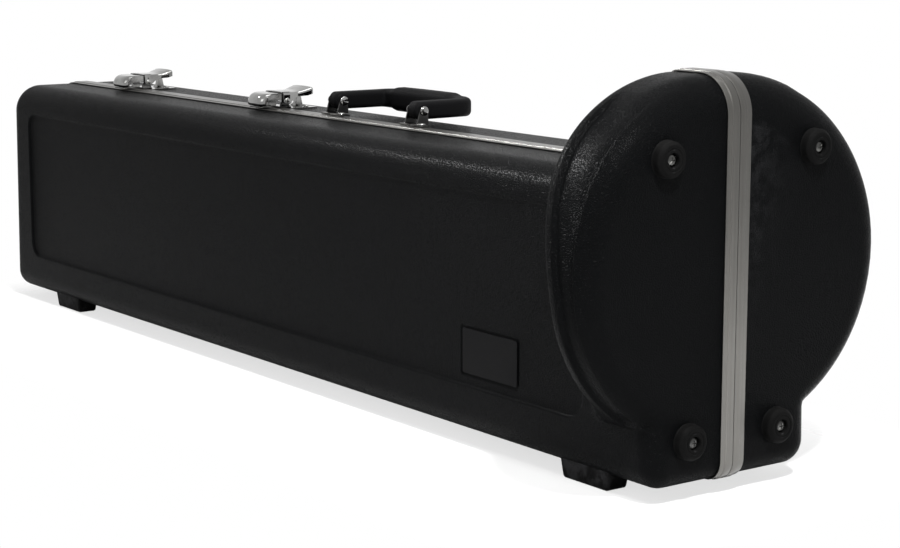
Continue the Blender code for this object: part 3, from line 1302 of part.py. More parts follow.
def build_foot(builder, half, name, x, material, parent):
    """A tapered rubber block that follows the shell's bottom edge."""
    y = half.side * (half.box_depth - FOOT_INSET)
    low = (x - FOOT_LENGTH / 2, y - FOOT_WIDTH / 2, -FOOT_HEIGHT)
    high = (x + FOOT_LENGTH / 2, y + FOOT_WIDTH / 2, FOOT_SEAT)
    mesh = box_mesh(low, high)
    for vertex in mesh.vertices:
        if vertex.co.z < 0:
            vertex.co.x += math.copysign(FOOT_TAPER, x - vertex.co.x)
            vertex.co.y += math.copysign(FOOT_TAPER / 2, y - vertex.co.y)
    foot = builder.add(name, mesh, material, parent=parent)
    bevel_edges(foot, FOOT_EDGE)
    builder.cut(foot, half.solid(margin=-FIT_GAP))
    shade(foot)


def cross_outline(y, z, reach, half):
    """A cross of the stated reach and half width about a place."""
    tip = half * CROSS_TIP_SHARE
    arm = [(reach, -tip), (reach, tip), (half, half)]
    points = []
    for turn in range(4):
        spin = Matrix.Rotation(QUARTER * turn, 2)
        points += [spin @ Vector(point) for point in arm]
    return [(y + point.x, z + point.y) for point in points]


def build_bumper(builder, palette, name, y, z, parent):
    """A rubber disc on the bell end, with the screw in its middle."""
    hole = SCREW_SHANK_RADIUS + HOLE_GAP
    floor = BUMPER_HEIGHT - BUMPER_RECESS_DEPTH
    profile = [(hole, 0), (hole, floor), (BUMPER_RECESS_RADIUS, floor)]
    profile += [(BUMPER_RECESS_RADIUS, BUMPER_HEIGHT), (BUMPER_RADIUS - BUMPER_SHOULDER, BUMPER_HEIGHT)]
    profile += [(BUMPER_RADIUS, BUMPER_HEIGHT - BUMPER_SHOULDER), (BUMPER_RADIUS, 0)]
    placing = axis_placing((FIT_GAP, y, z), (1, 0, 0))
    bumper = turned(closed_profile(profile), EYE_SIDES, placing)
    shade(builder.add(f"bumper_{name}", bumper, palette.rubber, parent=parent))
    head = Vector((FIT_GAP + floor + FIT_GAP, y, z))
    mesh = headed_screw(
        head, (1, 0, 0), floor, SCREW_SHANK_RADIUS, SCREW_HEAD_RADIUS, SCREW_HEAD_HEIGHT
    )
    screw = builder.add(f"bumper_screw_{name}", mesh, palette.steel, parent=parent)
    top = head.x + SCREW_HEAD_HEIGHT
    cross = cross_outline(y, z, SCREW_SLOT_REACH, SCREW_SLOT_HALF)
    builder.cut(screw, extruded([cross], top - SCREW_SLOT_DEPTH, top + OVERRUN, PLANE_YZ))
    shade(screw)


def label_outline(margin):
    half = Vector((LABEL_LENGTH / 2 + margin, LABEL_HEIGHT / 2 + margin))
    middle = Vector((LABEL_X, LABEL_Z))
    return rounded_rectangle(middle - half, middle + half, LABEL_CORNER)


def build_label(builder, palette, shell, parent):
    """A bare plate in a shallow recess of the lid's side panel."""
    panel = BOX_DEPTH_LID - PANEL_DEPTH
    floor = panel - LABEL_RECESS_DEPTH
    recess = [label_outline(LABEL_RECESS_MARGIN)]
    builder.cut(shell, extruded(recess, floor, panel + OVERRUN, PLANE_XZ))
    low = floor + FIT_GAP
    plate = extruded([label_outline(0)], low, low + LABEL_THICKNESS, PLANE_XZ)
    builder.add("label_plate", plate, palette.label, parent=parent)


def build_ends(builder, palette, lid, base, lid_axis):
    """Feet under both halves and bumpers on the bell end."""
    for half, label, parent in ((lid, "lid", lid_axis), (base, "base", builder.root)):
        for name, x in FOOT_PLACES.items():
            build_foot(builder, half, f"foot_{label}_{name}", x, palette.rubber, parent)
        inset = BUMPER_INSET_LID if half is lid else BUMPER_INSET_BASE
        depth = half.side * (half.drum_depth - inset)
        build_bumper(builder, palette, f"{label}_upper", depth, DRUM_HEIGHT - BUMPER_TOP_DROP, parent)
        depth = half.side * BUMPER_LOWER_DEPTH
        build_bumper(builder, palette, f"{label}_lower", depth, BUMPER_LOWER_HEIGHT, parent)


def main():
    clear_scene()
    builder = Builder()
    palette = Palette()
    lid, base = lid_half(), base_half()
    lid_axis = builder.empty("lid_axis", Vector((0, 0, hinge_axis_height())), builder.root)
    shell = build_shell(builder, lid, "shell_lid", palette.shell, lid_axis)
    build_shell(builder, base, "shell_base", palette.shell, builder.root)
    build_valance(builder, lid, "valance_lid", palette.valance, lid_axis, True)
    build_valance(builder, base, "valance_base", palette.valance, builder.root, False)
    build_lid_liner(builder, lid, palette.liner, lid_axis)
    build_base_liner(builder, base, palette.liner)
    build_flap(builder, palette)
    for name, x in zip(("keeper_right", "keeper_left"), KEEPER_PLACES):
        build_keeper(builder, palette, name, x, lid_axis)
    for name, x in LATCH_PLACES.items():
        Latch(builder, palette, name, x, lid_axis).build()
    build_handle(builder, palette)
    for name, x in HINGE_PLACES.items():
        build_hinge(builder, palette, name, x, lid_axis)
    build_ends(builder, palette, lid, base, lid_axis)
    build_label(builder, palette, shell, lid_axis)


main()
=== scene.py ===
"""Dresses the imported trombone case: moulded shells, drawn valances, plated fittings and a plush lining.

Forms are made in case coordinates, whose origin is the foot of the bell end on the parting plane. X runs
along the case with the bell end at zero, the lid is on the -Y side, the base half on the +Y side and Z is up.
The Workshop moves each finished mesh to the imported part's own frame. Lengths are in metres, and angles in
radians where nothing else is said.
"""

import json
import logging
import math
from collections.abc import Iterable, Sequence
from dataclasses import dataclass
from enum import Enum, IntEnum

import bmesh
import bpy
from mathutils import Matrix, Vector, noise

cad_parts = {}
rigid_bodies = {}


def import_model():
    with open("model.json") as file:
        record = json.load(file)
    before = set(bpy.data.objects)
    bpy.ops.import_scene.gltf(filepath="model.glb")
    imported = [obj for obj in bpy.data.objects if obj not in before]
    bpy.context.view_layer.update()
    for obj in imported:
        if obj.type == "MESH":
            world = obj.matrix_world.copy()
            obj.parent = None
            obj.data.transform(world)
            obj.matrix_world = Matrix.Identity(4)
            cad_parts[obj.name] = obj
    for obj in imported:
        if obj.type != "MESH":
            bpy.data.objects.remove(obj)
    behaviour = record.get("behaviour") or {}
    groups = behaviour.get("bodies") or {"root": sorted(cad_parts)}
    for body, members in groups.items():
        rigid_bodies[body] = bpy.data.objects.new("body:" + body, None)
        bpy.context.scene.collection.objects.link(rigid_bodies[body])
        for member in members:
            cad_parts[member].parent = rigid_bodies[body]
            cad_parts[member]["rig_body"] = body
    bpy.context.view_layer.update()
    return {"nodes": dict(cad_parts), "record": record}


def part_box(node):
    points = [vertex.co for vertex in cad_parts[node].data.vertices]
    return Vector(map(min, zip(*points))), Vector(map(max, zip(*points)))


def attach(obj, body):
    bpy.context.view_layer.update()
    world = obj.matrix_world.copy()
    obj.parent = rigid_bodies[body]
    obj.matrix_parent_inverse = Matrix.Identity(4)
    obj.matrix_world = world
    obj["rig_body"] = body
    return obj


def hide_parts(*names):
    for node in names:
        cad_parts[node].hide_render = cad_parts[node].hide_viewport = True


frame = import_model()
log = logging.getLogger("trombone_case")

Colour = tuple[float, float, float]
Pair = tuple[float, float]
Row = tuple[float, float, float]
QUARTER = math.pi / 2
SHARP_BEND = 0.6
FLAT_BEND = 0.01
SMALLEST = 1e-7
WELD_REACH = 1e-6
WHITE = (1.0, 1.0, 1.0, 1.0)
ALONG, ACROSS, UP = (Vector(axis) for axis in ((1, 0, 0), (0, 1, 0), (0, 0, 1)))


class Side(IntEnum):
    """A half of the case. The value is the sign of its Y."""

    LID = -1
    BASE = 1


class Slot(Enum):
    """The record's material slots."""

    SHELL = "black_abs"
    VALANCE = "satin_aluminium"
    CHROME = "chrome_plate"
    STEEL = "plated_steel"
    RUBBER = "black_rubber"
    HANDLE = "handle_plastic"
    PLUSH = "plush_liner"
    BOARD = "liner_board"
    KEEPER = "keeper_plastic"
    LABEL = "label_plate"


class Look(Enum):
    """Finishes that some nodes take in place of their slot's usual one."""

    # Painted shade: a darker copy of the plated steel for the screws deep in the bumpers' recesses and the
    # handle brackets.
    BLACKENED = "blackened_steel"


class Joining(Enum):
    """How one mesh is combined with another. The value is the Boolean modifier's operation."""

    CUT = "DIFFERENCE"
    UNITE = "UNION"


# ---- Small shape helpers ----


def ease(share: float) -> float:
    """A smooth step from 0 to 1."""
    share = min(max(share, 0.0), 1.0)
    return share * share * (3 - 2 * share)


def mix(low: float, high: float, share: float) -> float:
    """The value a share of the way from low to high."""
    return low + (high - low) * share


def shares(steps: int, first: int = 0) -> list[float]:
    """Even shares from first / steps up to 1."""
    return [k / steps for k in range(first, steps + 1)]


def arc(centre: Pair, radius: float, start: float, end: float, steps: int) -> list[Pair]:
    """Points of an arc, both ends included.

    Args:
        centre: The arc's centre.
        radius: Its radius.
        start: The first point's angle, in radians.
        end: The last point's angle.
        steps: How many chords it has.

    Returns:
        The points in order.
    """
    angles = [mix(start, end, share) for share in shares(steps)]
    return [(centre[0] + radius * math.cos(a), centre[1] + radius * math.sin(a)) for a in angles]


def rounded_rectangle(half: Pair, radius: float, steps: int) -> list[Pair]:
    """A rectangle about the origin with rounded corners.

    Args:
        half: Half its width and half its height.
        radius: The corners' radius.
        steps: Chords in each corner.

    Returns:
        The outline, anticlockwise from the lower left corner.
    """
    wide, high = half[0] - radius, half[1] - radius
    points: list[Pair] = []
    for k, (x, y) in enumerate(((-wide, -high), (wide, -high), (wide, high), (-wide, high))):
        points += arc((x, y), radius, math.pi + k * QUARTER, math.pi + (k + 1) * QUARTER, steps)
    return points


def softened(points: Sequence[Pair], radius: float, closed: bool = False, steps: int = 3) -> list[Pair]:
    """The same outline with its corners eased.

    Args:
        points: The outline's corners.
        radius: How far from a corner its easing starts, at most two fifths of each side.
        closed: Whether the last point joins the first.
        steps: Chords in each corner.

    Returns:
        The eased outline.
    """
    most = 0.4
    found: list[Pair] = []
    count = len(points)
    for k, point in enumerate(points):
        here = Vector(point)
        if not closed and k in (0, count - 1):
            found.append((here.x, here.y))
            continue
        before, after = Vector(points[k - 1]) - here, Vector(points[(k + 1) % count]) - here
        cut = min(radius, before.length * most, after.length * most)
        start, end = here + before.normalized() * cut, here + after.normalized() * cut
        for share in shares(steps):
            spot = start.lerp(here, share).lerp(here.lerp(end, share), share)
            found.append((spot.x, spot.y))
    return found


def graded(low: float, high: float, stops: Sequence[float], finest: float, growth: float) -> list[float]:
    """Places from low to high that crowd together near each stop.

    Args:
        low: The first place.
        high: The last place.
        stops: Where detail is needed.
        finest: The spacing at a stop.
        growth: How much the spacing grows with the distance from the nearest stop.

    Returns:
        The places in order, both ends included. The last step is at most half as long again as its rule.
    """
    longest_last = 1.5
    found = [low]
    while True:
        gap = min(abs(found[-1] - stop) for stop in stops)
        step = finest + growth * gap
        if found[-1] + longest_last * step >= high:
            return [*found, high]
        found.append(found[-1] + step)


def depth_inside(spot: Pair, low: Pair, high: Pair, radius: float) -> float:
    """How far a place lies inside a rectangle with rounded corners, negative outside it.

    Args:
        spot: The place.
        low: The rectangle's lower left corner.
        high: Its upper right corner.
        radius: Its corners' radius.

    Returns:
        The distance to the outline.
    """
    gaps = [abs(spot[k] - (low[k] + high[k]) / 2) - (high[k] - low[k]) / 2 + radius for k in (0, 1)]
    outside = math.hypot(max(gaps[0], 0.0), max(gaps[1], 0.0))
    return radius - outside - min(max(gaps), 0.0)


def closed_mesh(name: str, work: bmesh.types.BMesh, sharp: float = SHARP_BEND) -> bpy.types.Mesh:
    """Turns a finished bmesh into a smooth-shaded mesh whose faces look outwards.

    Args:
        name: The mesh's name.
        work: The bmesh, which is used up.
        sharp: Edges that bend by more than this stay sharp, in radians.

    Returns:
        The mesh.
    """
    bmesh.ops.recalc_face_normals(work, faces=work.faces)
    mesh = bpy.data.meshes.new(name)
    work.to_mesh(mesh)
    work.free()
    mesh.shade_smooth()
    mesh.set_sharp_from_angle(angle=sharp)
    return mesh


def swept_mesh(
    name: str, rings: Sequence[Sequence[Vector]], closed: bool = False, sharp: float = SHARP_BEND
) -> bpy.types.Mesh:
    """Joins rings of equal length into a tube, with UVs in metres along it and round it.

    Args:
        name: The mesh's name.
        rings: The rings in order.
        closed: Whether the last ring joins the first; otherwise both ends are capped.
        sharp: Edges that bend by more than this stay sharp, in radians.

    Returns:
        The mesh.
    """
    work = bmesh.new()
    layer = work.loops.layers.uv.new("UVMap")
    grid = [[work.verts.new(spot) for spot in ring] for ring in rings]
    count, size = len(rings), len(rings[0])
    around = [0.0]
    for k in range(size):
        around.append(around[-1] + (rings[0][(k + 1) % size] - rings[0][k]).length)
    along = [0.0]
    for k in range(count):
        along.append(along[-1] + (rings[(k + 1) % count][0] - rings[k][0]).length)
    for i in range(count if closed else count - 1):
        after = grid[(i + 1) % count]
        for k in range(size):
            other = (k + 1) % size
            face = work.faces.new((grid[i][k], grid[i][other], after[other], after[k]))
            spots = ((i, k), (i, k + 1), (i + 1, k + 1), (i + 1, k))
            for loop, (u, v) in zip(face.loops, spots):
                loop[layer].uv = (along[u], around[v])
    if not closed:
        work.faces.new(grid[0])
        work.faces.new(grid[-1])
    return closed_mesh(name, work, sharp)


def turned_mesh(
    name: str, profile: Sequence[Pair], start: Vector, axis: Vector, sides: int = 40, closed: bool = False
) -> bpy.types.Mesh:
    """A profile of (radius, height) pairs turned about an axis.

    Args:
        name: The mesh's name.
        profile: The profile, from one end to the other.
        start: Where height zero is.
        axis: The direction of rising height.
        sides: How many sides a full turn has.
        closed: Whether the profile is a loop, as of a ring.

    Returns:
        The mesh.
    """
    work = bmesh.new()
    rings = []
    for radius, height in profile:
        angles = [2 * math.pi * k / sides for k in range(sides if radius > SMALLEST else 1)]
        rings.append([work.verts.new((radius * math.cos(a), radius * math.sin(a), height)) for a in angles])
    pairs = list(zip(rings, rings[1:])) + ([(rings[-1], rings[0])] if closed else [])
    for lower, upper in pairs:
        for k in range(sides):
            a, b = k % len(lower), (k + 1) % len(lower)
            c, d = k % len(upper), (k + 1) % len(upper)
            corners = [lower[a], lower[b], upper[d], upper[c]]
            work.faces.new([v for n, v in enumerate(corners) if v not in corners[:n]])
    turn = UP.rotation_difference(axis).to_matrix().to_4x4()
    work.transform(Matrix.Translation(start) @ turn)
    return closed_mesh(name, work)


def extruded_mesh(name: str, points: Sequence[Pair], low: float, high: float) -> bpy.types.Mesh:
    """A section of (y, z) points carried along X from low to high."""
    rings = [[Vector((x, y, z)) for y, z in points] for x in (low, high)]
    return swept_mesh(name, rings)


def placed(name: str, data: bpy.types.ID) -> bpy.types.Object:
    """Adds an object to the scene.

    Args:
        name: The object's name.
        data: The mesh, lamp or camera that it shows.

    Returns:
        The object.
    """
    made = bpy.data.objects.new(name, data)
    bpy.context.scene.collection.objects.link(made)
    return made


def evaluated_copy(holder: bpy.types.Object) -> bpy.types.Mesh:
    """Takes the mesh that an object's modifiers give.

    Args:
        holder: The object, which is removed.

    Returns:
        The mesh.
    """
    graph = bpy.context.evaluated_depsgraph_get()
    graph.update()
    mesh = bpy.data.meshes.new_from_object(holder.evaluated_get(graph))
    bpy.data.objects.remove(holder, do_unlink=True)
    return mesh


def combined(mesh: bpy.types.Mesh, other: bpy.types.Mesh, joining: Joining = Joining.CUT) -> bpy.types.Mesh:
    """One mesh with another cut out of it, or joined to it.

    Args:
        mesh: The body.
        other: What is cut out or joined.
        joining: Which of the two.

    Returns:
        The new mesh, smooth-shaded.
    """
    holder, tool = placed(mesh.name, mesh), placed(other.name, other)
    boolean = holder.modifiers.new("cut", "BOOLEAN")
    boolean.object = tool
    boolean.solver = "EXACT"
    boolean.operation = joining.value
    made = evaluated_copy(holder)
    bpy.data.objects.remove(tool, do_unlink=True)
    made.shade_smooth()
    made.set_sharp_from_angle(angle=SHARP_BEND)
    return made


# ---- Shared effects and finishes ----


def opaque(value: object) -> object:
    """A plain colour with full alpha; anything else as it is."""
    return (*value, 1.0) if isinstance(value, tuple) else value


class NodeSheet:
    """A node tree with short ways to add nodes and feed their inputs."""

    def __init__(self, tree: bpy.types.NodeTree) -> None:
        """Keeps the tree."""
        self.tree = tree

    def feed(self, socket: bpy.types.NodeSocket, value: object) -> None:
        """Feeds one input of a node or group.

        Args:
            socket: The input.
            value: A socket to link to it, or its plain value.
        """
        if isinstance(value, bpy.types.NodeSocket):
            self.tree.links.new(value, socket)
        else:
            socket.default_value = value

    def add(self, kind: str, inputs: dict | None = None, **settings: object) -> bpy.types.Node:
        """Adds a node.

        Args:
            kind: The node's type.
            inputs: Values or sockets for its inputs, by name or number.
            **settings: Properties of the node itself.

        Returns:
            The node.
        """
        node = self.tree.nodes.new(kind)
        for key, value in settings.items():
            setattr(node, key, value)
        for key, value in (inputs or {}).items():
            self.feed(node.inputs[key], value)
        return node

    def math(self, operation: str, *values: object) -> bpy.types.NodeSocket:
        """The result of a Math node on sockets or numbers."""
        return self.add("ShaderNodeMath", dict(enumerate(values)), operation=operation).outputs[0]

    def vector(self, operation: str, inputs: dict) -> bpy.types.Node:
        """A Vector Math node on the given inputs."""
        return self.add("ShaderNodeVectorMath", inputs, operation=operation)

    def product(self, *values: object) -> bpy.types.NodeSocket:
        """Multiplies several values.

        Args:
            *values: Sockets or numbers.

        Returns:
            The product's socket.
        """
        result = values[0]
        for value in values[1:]:
            result = self.math("MULTIPLY", result, value)
        return result

    def graded(self, value: object, span: Pair, results: Pair = (0.0, 1.0)) -> bpy.types.NodeSocket:
        """A value carried smoothly from one range to another and held at its ends.

        Args:
            value: The socket to carry over.
            span: The first range.
            results: What its two ends become.

        Returns:
            The result's socket.
        """
        inputs = {0: value, 1: span[0], 2: span[1], 3: results[0], 4: results[1]}
        return self.add("ShaderNodeMapRange", inputs, interpolation_type="SMOOTHSTEP").outputs[0]

    def blend(self, share: object, first: object, second: object) -> bpy.types.NodeSocket:
        """The colour between two colours at a share."""
        inputs = {0: share, 6: opaque(first), 7: opaque(second)}
        return self.add("ShaderNodeMix", inputs, data_type="RGBA").outputs[2]

    def noise(self, vector: object, scale: object, detail: float = 3.0, rough: float = 0.5) -> bpy.types.Node:
        """A noise texture on a vector."""
        inputs = {"Vector": vector, "Scale": scale, "Detail": detail, "Roughness": rough}
        return self.add("ShaderNodeTexNoise", inputs)

    def place(self) -> bpy.types.NodeSocket:
        """The point's place on its own piece, in metres."""
        return self.add("ShaderNodeTexCoord").outputs["Object"]


class Effect(NodeSheet):
    """A shader node group with named inputs and outputs."""

    def __init__(self, name: str, **inputs: float) -> None:
        """Starts the group.

        Args:
            name: The group's name.
            **inputs: Its number inputs and what they start at.
        """
        super().__init__(bpy.data.node_groups.new(name, "ShaderNodeTree"))
        for title, value in inputs.items():
            socket = self.tree.interface.new_socket(title, in_out="INPUT", socket_type="NodeSocketFloat")
            socket.default_value = value
        self.entry = self.tree.nodes.new("NodeGroupInput")
        self.exit = self.tree.nodes.new("NodeGroupOutput")

    def __getitem__(self, title: str) -> bpy.types.NodeSocket:
        """The socket that carries an input."""
        return self.entry.outputs[title]

    def give(self, title: str, value: bpy.types.NodeSocket) -> None:
        """Adds an output that carries a number."""
        self.tree.interface.new_socket(title, in_out="OUTPUT", socket_type="NodeSocketFloat")
        self.feed(self.exit.inputs[title], value)


@dataclass
class Effects:
    """The effects that several finishes share, each made once.

    A span is the range of a value that becomes a mask. Drift_share, skin_share, ripple_share and fuzz_share
    are multiples of the group's own scale.
    """

    drift_share: float = 0.35
    skin_share: float = 2.6
    skin_height: float = 0.35
    pebble_span: Pair = (0.0, 0.22)
    edge_span: Pair = (0.53, 0.62)
    patch_span: Pair = (0.42, 0.62)
    lying_span: Pair = (0.35, 1.0)
    dust_scale: float = 26.0
    dust_span: Pair = (0.35, 0.75)
    dust_shares: Pair = (0.2, 1.0)
    speck_scale: float = 1500.0
    speck_span: Pair = (0.4, 0.7)
    speck_shares: Pair = (0.3, 1.0)
    wide_line: float = 0.12
    smudge_span: Pair = (0.35, 0.7)
    ripple_share: float = 9.0
    fuzz_share: float = 2.0
    fuzz_height: float = 0.8
    nap_scale: float = 17.0
    nap_span: Pair = (0.38, 0.64)

    def __post_init__(self) -> None:
        """Makes every group."""
        self.grain = self.make_grain()
        self.scuff = self.make_scuff()
        self.dust = self.make_dust()
        self.drawn = self.make_drawn()
        self.smudge = self.make_smudge()
        self.pile = self.make_pile()

    def make_grain(self) -> bpy.types.NodeTree:
        """Leather grain as a mould gives it: rounded pebbles between fine creases.

        Returns:
            The node group.
        """
        effect = Effect("moulded_grain", Scale=600.0, Wander=0.0012)
        place = effect.place()
        slow = effect.product(effect["Scale"], self.drift_share)
        drift = effect.noise(place, slow, detail=2.0).outputs["Color"]
        shift = effect.vector("SUBTRACT", {0: drift, 1: (0.5, 0.5, 0.5)}).outputs[0]
        moved = effect.vector("SCALE", {0: shift, "Scale": effect["Wander"]}).outputs[0]
        spot = effect.vector("ADD", {0: place, 1: moved}).outputs[0]
        inputs = {"Vector": spot, "Scale": effect["Scale"]}
        cells = effect.add("ShaderNodeTexVoronoi", inputs, feature="DISTANCE_TO_EDGE")
        pebble = effect.graded(cells.outputs["Distance"], self.pebble_span)
        fine = effect.product(effect["Scale"], self.skin_share)
        skin = effect.noise(spot, fine, detail=3.0, rough=0.6).outputs["Fac"]
        effect.give("Height", effect.math("MULTIPLY_ADD", skin, self.skin_height, pebble))
        effect.give("Crease", effect.math("SUBTRACT", 1.0, pebble))
        return effect.tree

    def make_scuff(self) -> bpy.types.NodeTree:
        """Rubbed edges, broken up by noise.

        Returns:
            The node group.
        """
        effect = Effect("edge_scuff", Amount=0.5, Scale=90.0)
        edge = effect.graded(effect.add("ShaderNodeNewGeometry").outputs["Pointiness"], self.edge_span)
        cloud = effect.noise(effect.place(), effect["Scale"], detail=5.0, rough=0.7).outputs["Fac"]
        effect.give("Mask", effect.product(edge, effect.graded(cloud, self.patch_span), effect["Amount"]))
        return effect.tree

    def make_dust(self) -> bpy.types.NodeTree:
        """Fine dust on what faces up when the case stands shut.

        Returns:
            The node group.
        """
        effect = Effect("dust_veil", Amount=0.3)
        normal = effect.add("ShaderNodeTexCoord").outputs["Normal"]
        up = effect.add("ShaderNodeSeparateXYZ", {0: normal}).outputs["Z"]
        lying = effect.graded(up, self.lying_span)
        cloud = effect.noise(effect.place(), self.dust_scale, detail=6.0, rough=0.65).outputs["Fac"]
        speck = effect.noise(effect.place(), self.speck_scale, detail=2.0).outputs["Fac"]
        clouded = effect.graded(cloud, self.dust_span, self.dust_shares)
        veil = effect.product(clouded, effect.graded(speck, self.speck_span, self.speck_shares))
        effect.give("Mask", effect.product(lying, veil, effect["Amount"]))
        return effect.tree

    def make_drawn(self) -> bpy.types.NodeTree:
        """Fine lines that run the length of a drawn or brushed piece, read from its UVs.

        Returns:
            The node group.
        """
        effect = Effect("drawn_lines", Along=6.0, Across=4200.0)
        laid = effect.add("ShaderNodeUVMap", uv_map="UVMap").outputs["UV"]
        parts = effect.add("ShaderNodeSeparateXYZ", {0: laid})
        run = effect.product(parts.outputs["X"], effect["Along"])
        rise = effect.product(parts.outputs["Y"], effect["Across"])
        spot = effect.add("ShaderNodeCombineXYZ", {0: run, 1: rise}).outputs[0]
        fine = effect.noise(spot, 1.0, detail=4.0, rough=0.7).outputs["Fac"]
        coarse = effect.product(rise, self.wide_line)
        broad = effect.add("ShaderNodeCombineXYZ", {0: run, 1: coarse}).outputs[0]
        wide = effect.noise(broad, 1.0).outputs["Fac"]
        effect.give("Height", fine)
        effect.give("Streak", effect.math("MULTIPLY_ADD", wide, 0.5, effect.product(fine, 0.5)))
        return effect.tree

    def make_smudge(self) -> bpy.types.NodeTree:
        """Soft patches where plating has been handled, and its slight ripple.

        Returns:
            The node group.
        """
        effect = Effect("handled_plating", Scale=40.0)
        place = effect.place()
        cloud = effect.noise(place, effect["Scale"], detail=5.0, rough=0.6).outputs["Fac"]
        effect.give("Mask", effect.graded(cloud, self.smudge_span))
        fine = effect.product(effect["Scale"], self.ripple_share)
        effect.give("Height", effect.noise(place, fine, detail=2.0, rough=0.4).outputs["Fac"])
        return effect.tree

    def make_pile(self) -> bpy.types.NodeTree:
        """Short plush pile that leans one way in some patches and the other way in others.

        Returns:
            The node group.
        """
        effect = Effect("plush_pile", Scale=900.0)
        place = effect.place()
        tufts = effect.add("ShaderNodeTexVoronoi", {"Vector": place, "Scale": effect["Scale"]})
        fine = effect.product(effect["Scale"], self.fuzz_share)
        fuzz = effect.noise(place, fine, detail=3.0, rough=0.7).outputs["Fac"]
        height = effect.math("MULTIPLY_ADD", fuzz, self.fuzz_height, tufts.outputs["Distance"])
        effect.give("Height", height)
        nap = effect.noise(place, self.nap_scale, detail=4.0, rough=0.6).outputs["Fac"]
        effect.give("Nap", effect.graded(nap, self.nap_span))
        return effect.tree


class Painter(NodeSheet):
    """A material under construction, with its shader and ways to place shared effects."""

    def __init__(self, name: str) -> None:
        """Starts a material that holds one Principled shader.

        Args:
            name: The material's name.
        """
        self.material = bpy.data.materials.new(name)
        self.material.use_nodes = True
        super().__init__(self.material.node_tree)
        self.shader = self.tree.nodes["Principled BSDF"]

    def effect(self, group: bpy.types.NodeTree, **inputs: float) -> bpy.types.Node:
        """Places a shared effect with values of its own.

        Args:
            group: The effect's node group.
            **inputs: Values for its inputs.

        Returns:
            The placed node.
        """
        node = self.add("ShaderNodeGroup", node_tree=group)
        for title, value in inputs.items():
            self.feed(node.inputs[title], value)
        return node

    def set(self, **values: float | Colour) -> None:
        """Sets the shader's own sockets, whose names are given with underscores for spaces."""
        for title, value in values.items():
            self.shader.inputs[title.replace("_", " ")].default_value = opaque(value)

    def join(self, title: str, value: bpy.types.NodeSocket) -> None:
        """Feeds one of the shader's inputs."""
        self.feed(self.shader.inputs[title], value)

    def bump(self, height: bpy.types.NodeSocket, distance: float) -> None:
        """Feeds the shader's normal with a relief of the stated height in metres."""
        node = self.add("ShaderNodeBump", {"Height": height, "Distance": distance, "Strength": 1.0})
        self.join("Normal", node.outputs[0])


@dataclass(frozen=True)
class MouldedPlastic:
    """Black plastic with a moulded grain, a soft sheen, light scuffs and a little dust.

    Each matt value is what a mask adds to the roughness, and wander is a share of a pebble.
    """

    dark: Colour
    light: Colour
    roughness: float
    sheen_level: float
    grain_scale: float
    grain_depth: float
    scuff: float
    dust: float
    rubbed: Colour = (0.04, 0.04, 0.042)
    dusty: Colour = (0.16, 0.155, 0.15)
    wander: float = 0.7
    cloud_scale: float = 11.0
    crease_matt: float = 0.16
    cloud_matt: float = 0.08
    dust_matt: float = 0.5

    def material(self, name: str, effects: Effects) -> bpy.types.Material:
        """Makes the material.

        Args:
            name: The material's name.
            effects: The shared effects that it draws on.

        Returns:
            The material.
        """
        paint = Painter(name)
        grain = paint.effect(effects.grain, Scale=self.grain_scale, Wander=self.wander / self.grain_scale)
        scuff = paint.effect(effects.scuff, Amount=self.scuff).outputs["Mask"]
        dust = paint.effect(effects.dust, Amount=self.dust).outputs["Mask"]
        cloud = paint.noise(paint.place(), self.cloud_scale, detail=5.0, rough=0.6).outputs["Fac"]
        body = paint.blend(cloud, self.dark, self.light)
        paint.join("Base Color", paint.blend(dust, paint.blend(scuff, body, self.rubbed), self.dusty))
        rough = paint.math("MULTIPLY_ADD", grain.outputs["Crease"], self.crease_matt, self.roughness)
        rough = paint.math("MULTIPLY_ADD", cloud, self.cloud_matt, rough)
        paint.join("Roughness", paint.math("MULTIPLY_ADD", dust, self.dust_matt, rough))
        paint.set(Specular_IOR_Level=self.sheen_level)
        paint.bump(grain.outputs["Height"], self.grain_depth)
        return paint.material


@dataclass(frozen=True)
class DrawnMetal:
    """Bare metal with lines along its length. Each matt value is what a mask adds to the roughness."""

    dark: Colour
    light: Colour
    roughness: float
    line_depth: float
    smudge_scale: float = 22.0
    streak_matt: float = 0.12
    smudge_matt: float = 0.06

    def material(self, name: str, effects: Effects) -> bpy.types.Material:
        """Makes the material.

        Args:
            name: The material's name.
            effects: The shared effects that it draws on.

        Returns:
            The material.
        """
        paint = Painter(name)
        lines = paint.effect(effects.drawn)
        smudge = paint.effect(effects.smudge, Scale=self.smudge_scale).outputs["Mask"]
        streak = lines.outputs["Streak"]
        paint.join("Base Color", paint.blend(streak, self.dark, self.light))
        rough = paint.math("MULTIPLY_ADD", streak, self.streak_matt, self.roughness)
        paint.join("Roughness", paint.math("MULTIPLY_ADD", smudge, self.smudge_matt, rough))
        paint.set(Metallic=1.0)
        paint.bump(lines.outputs["Height"], self.line_depth)
        return paint.material


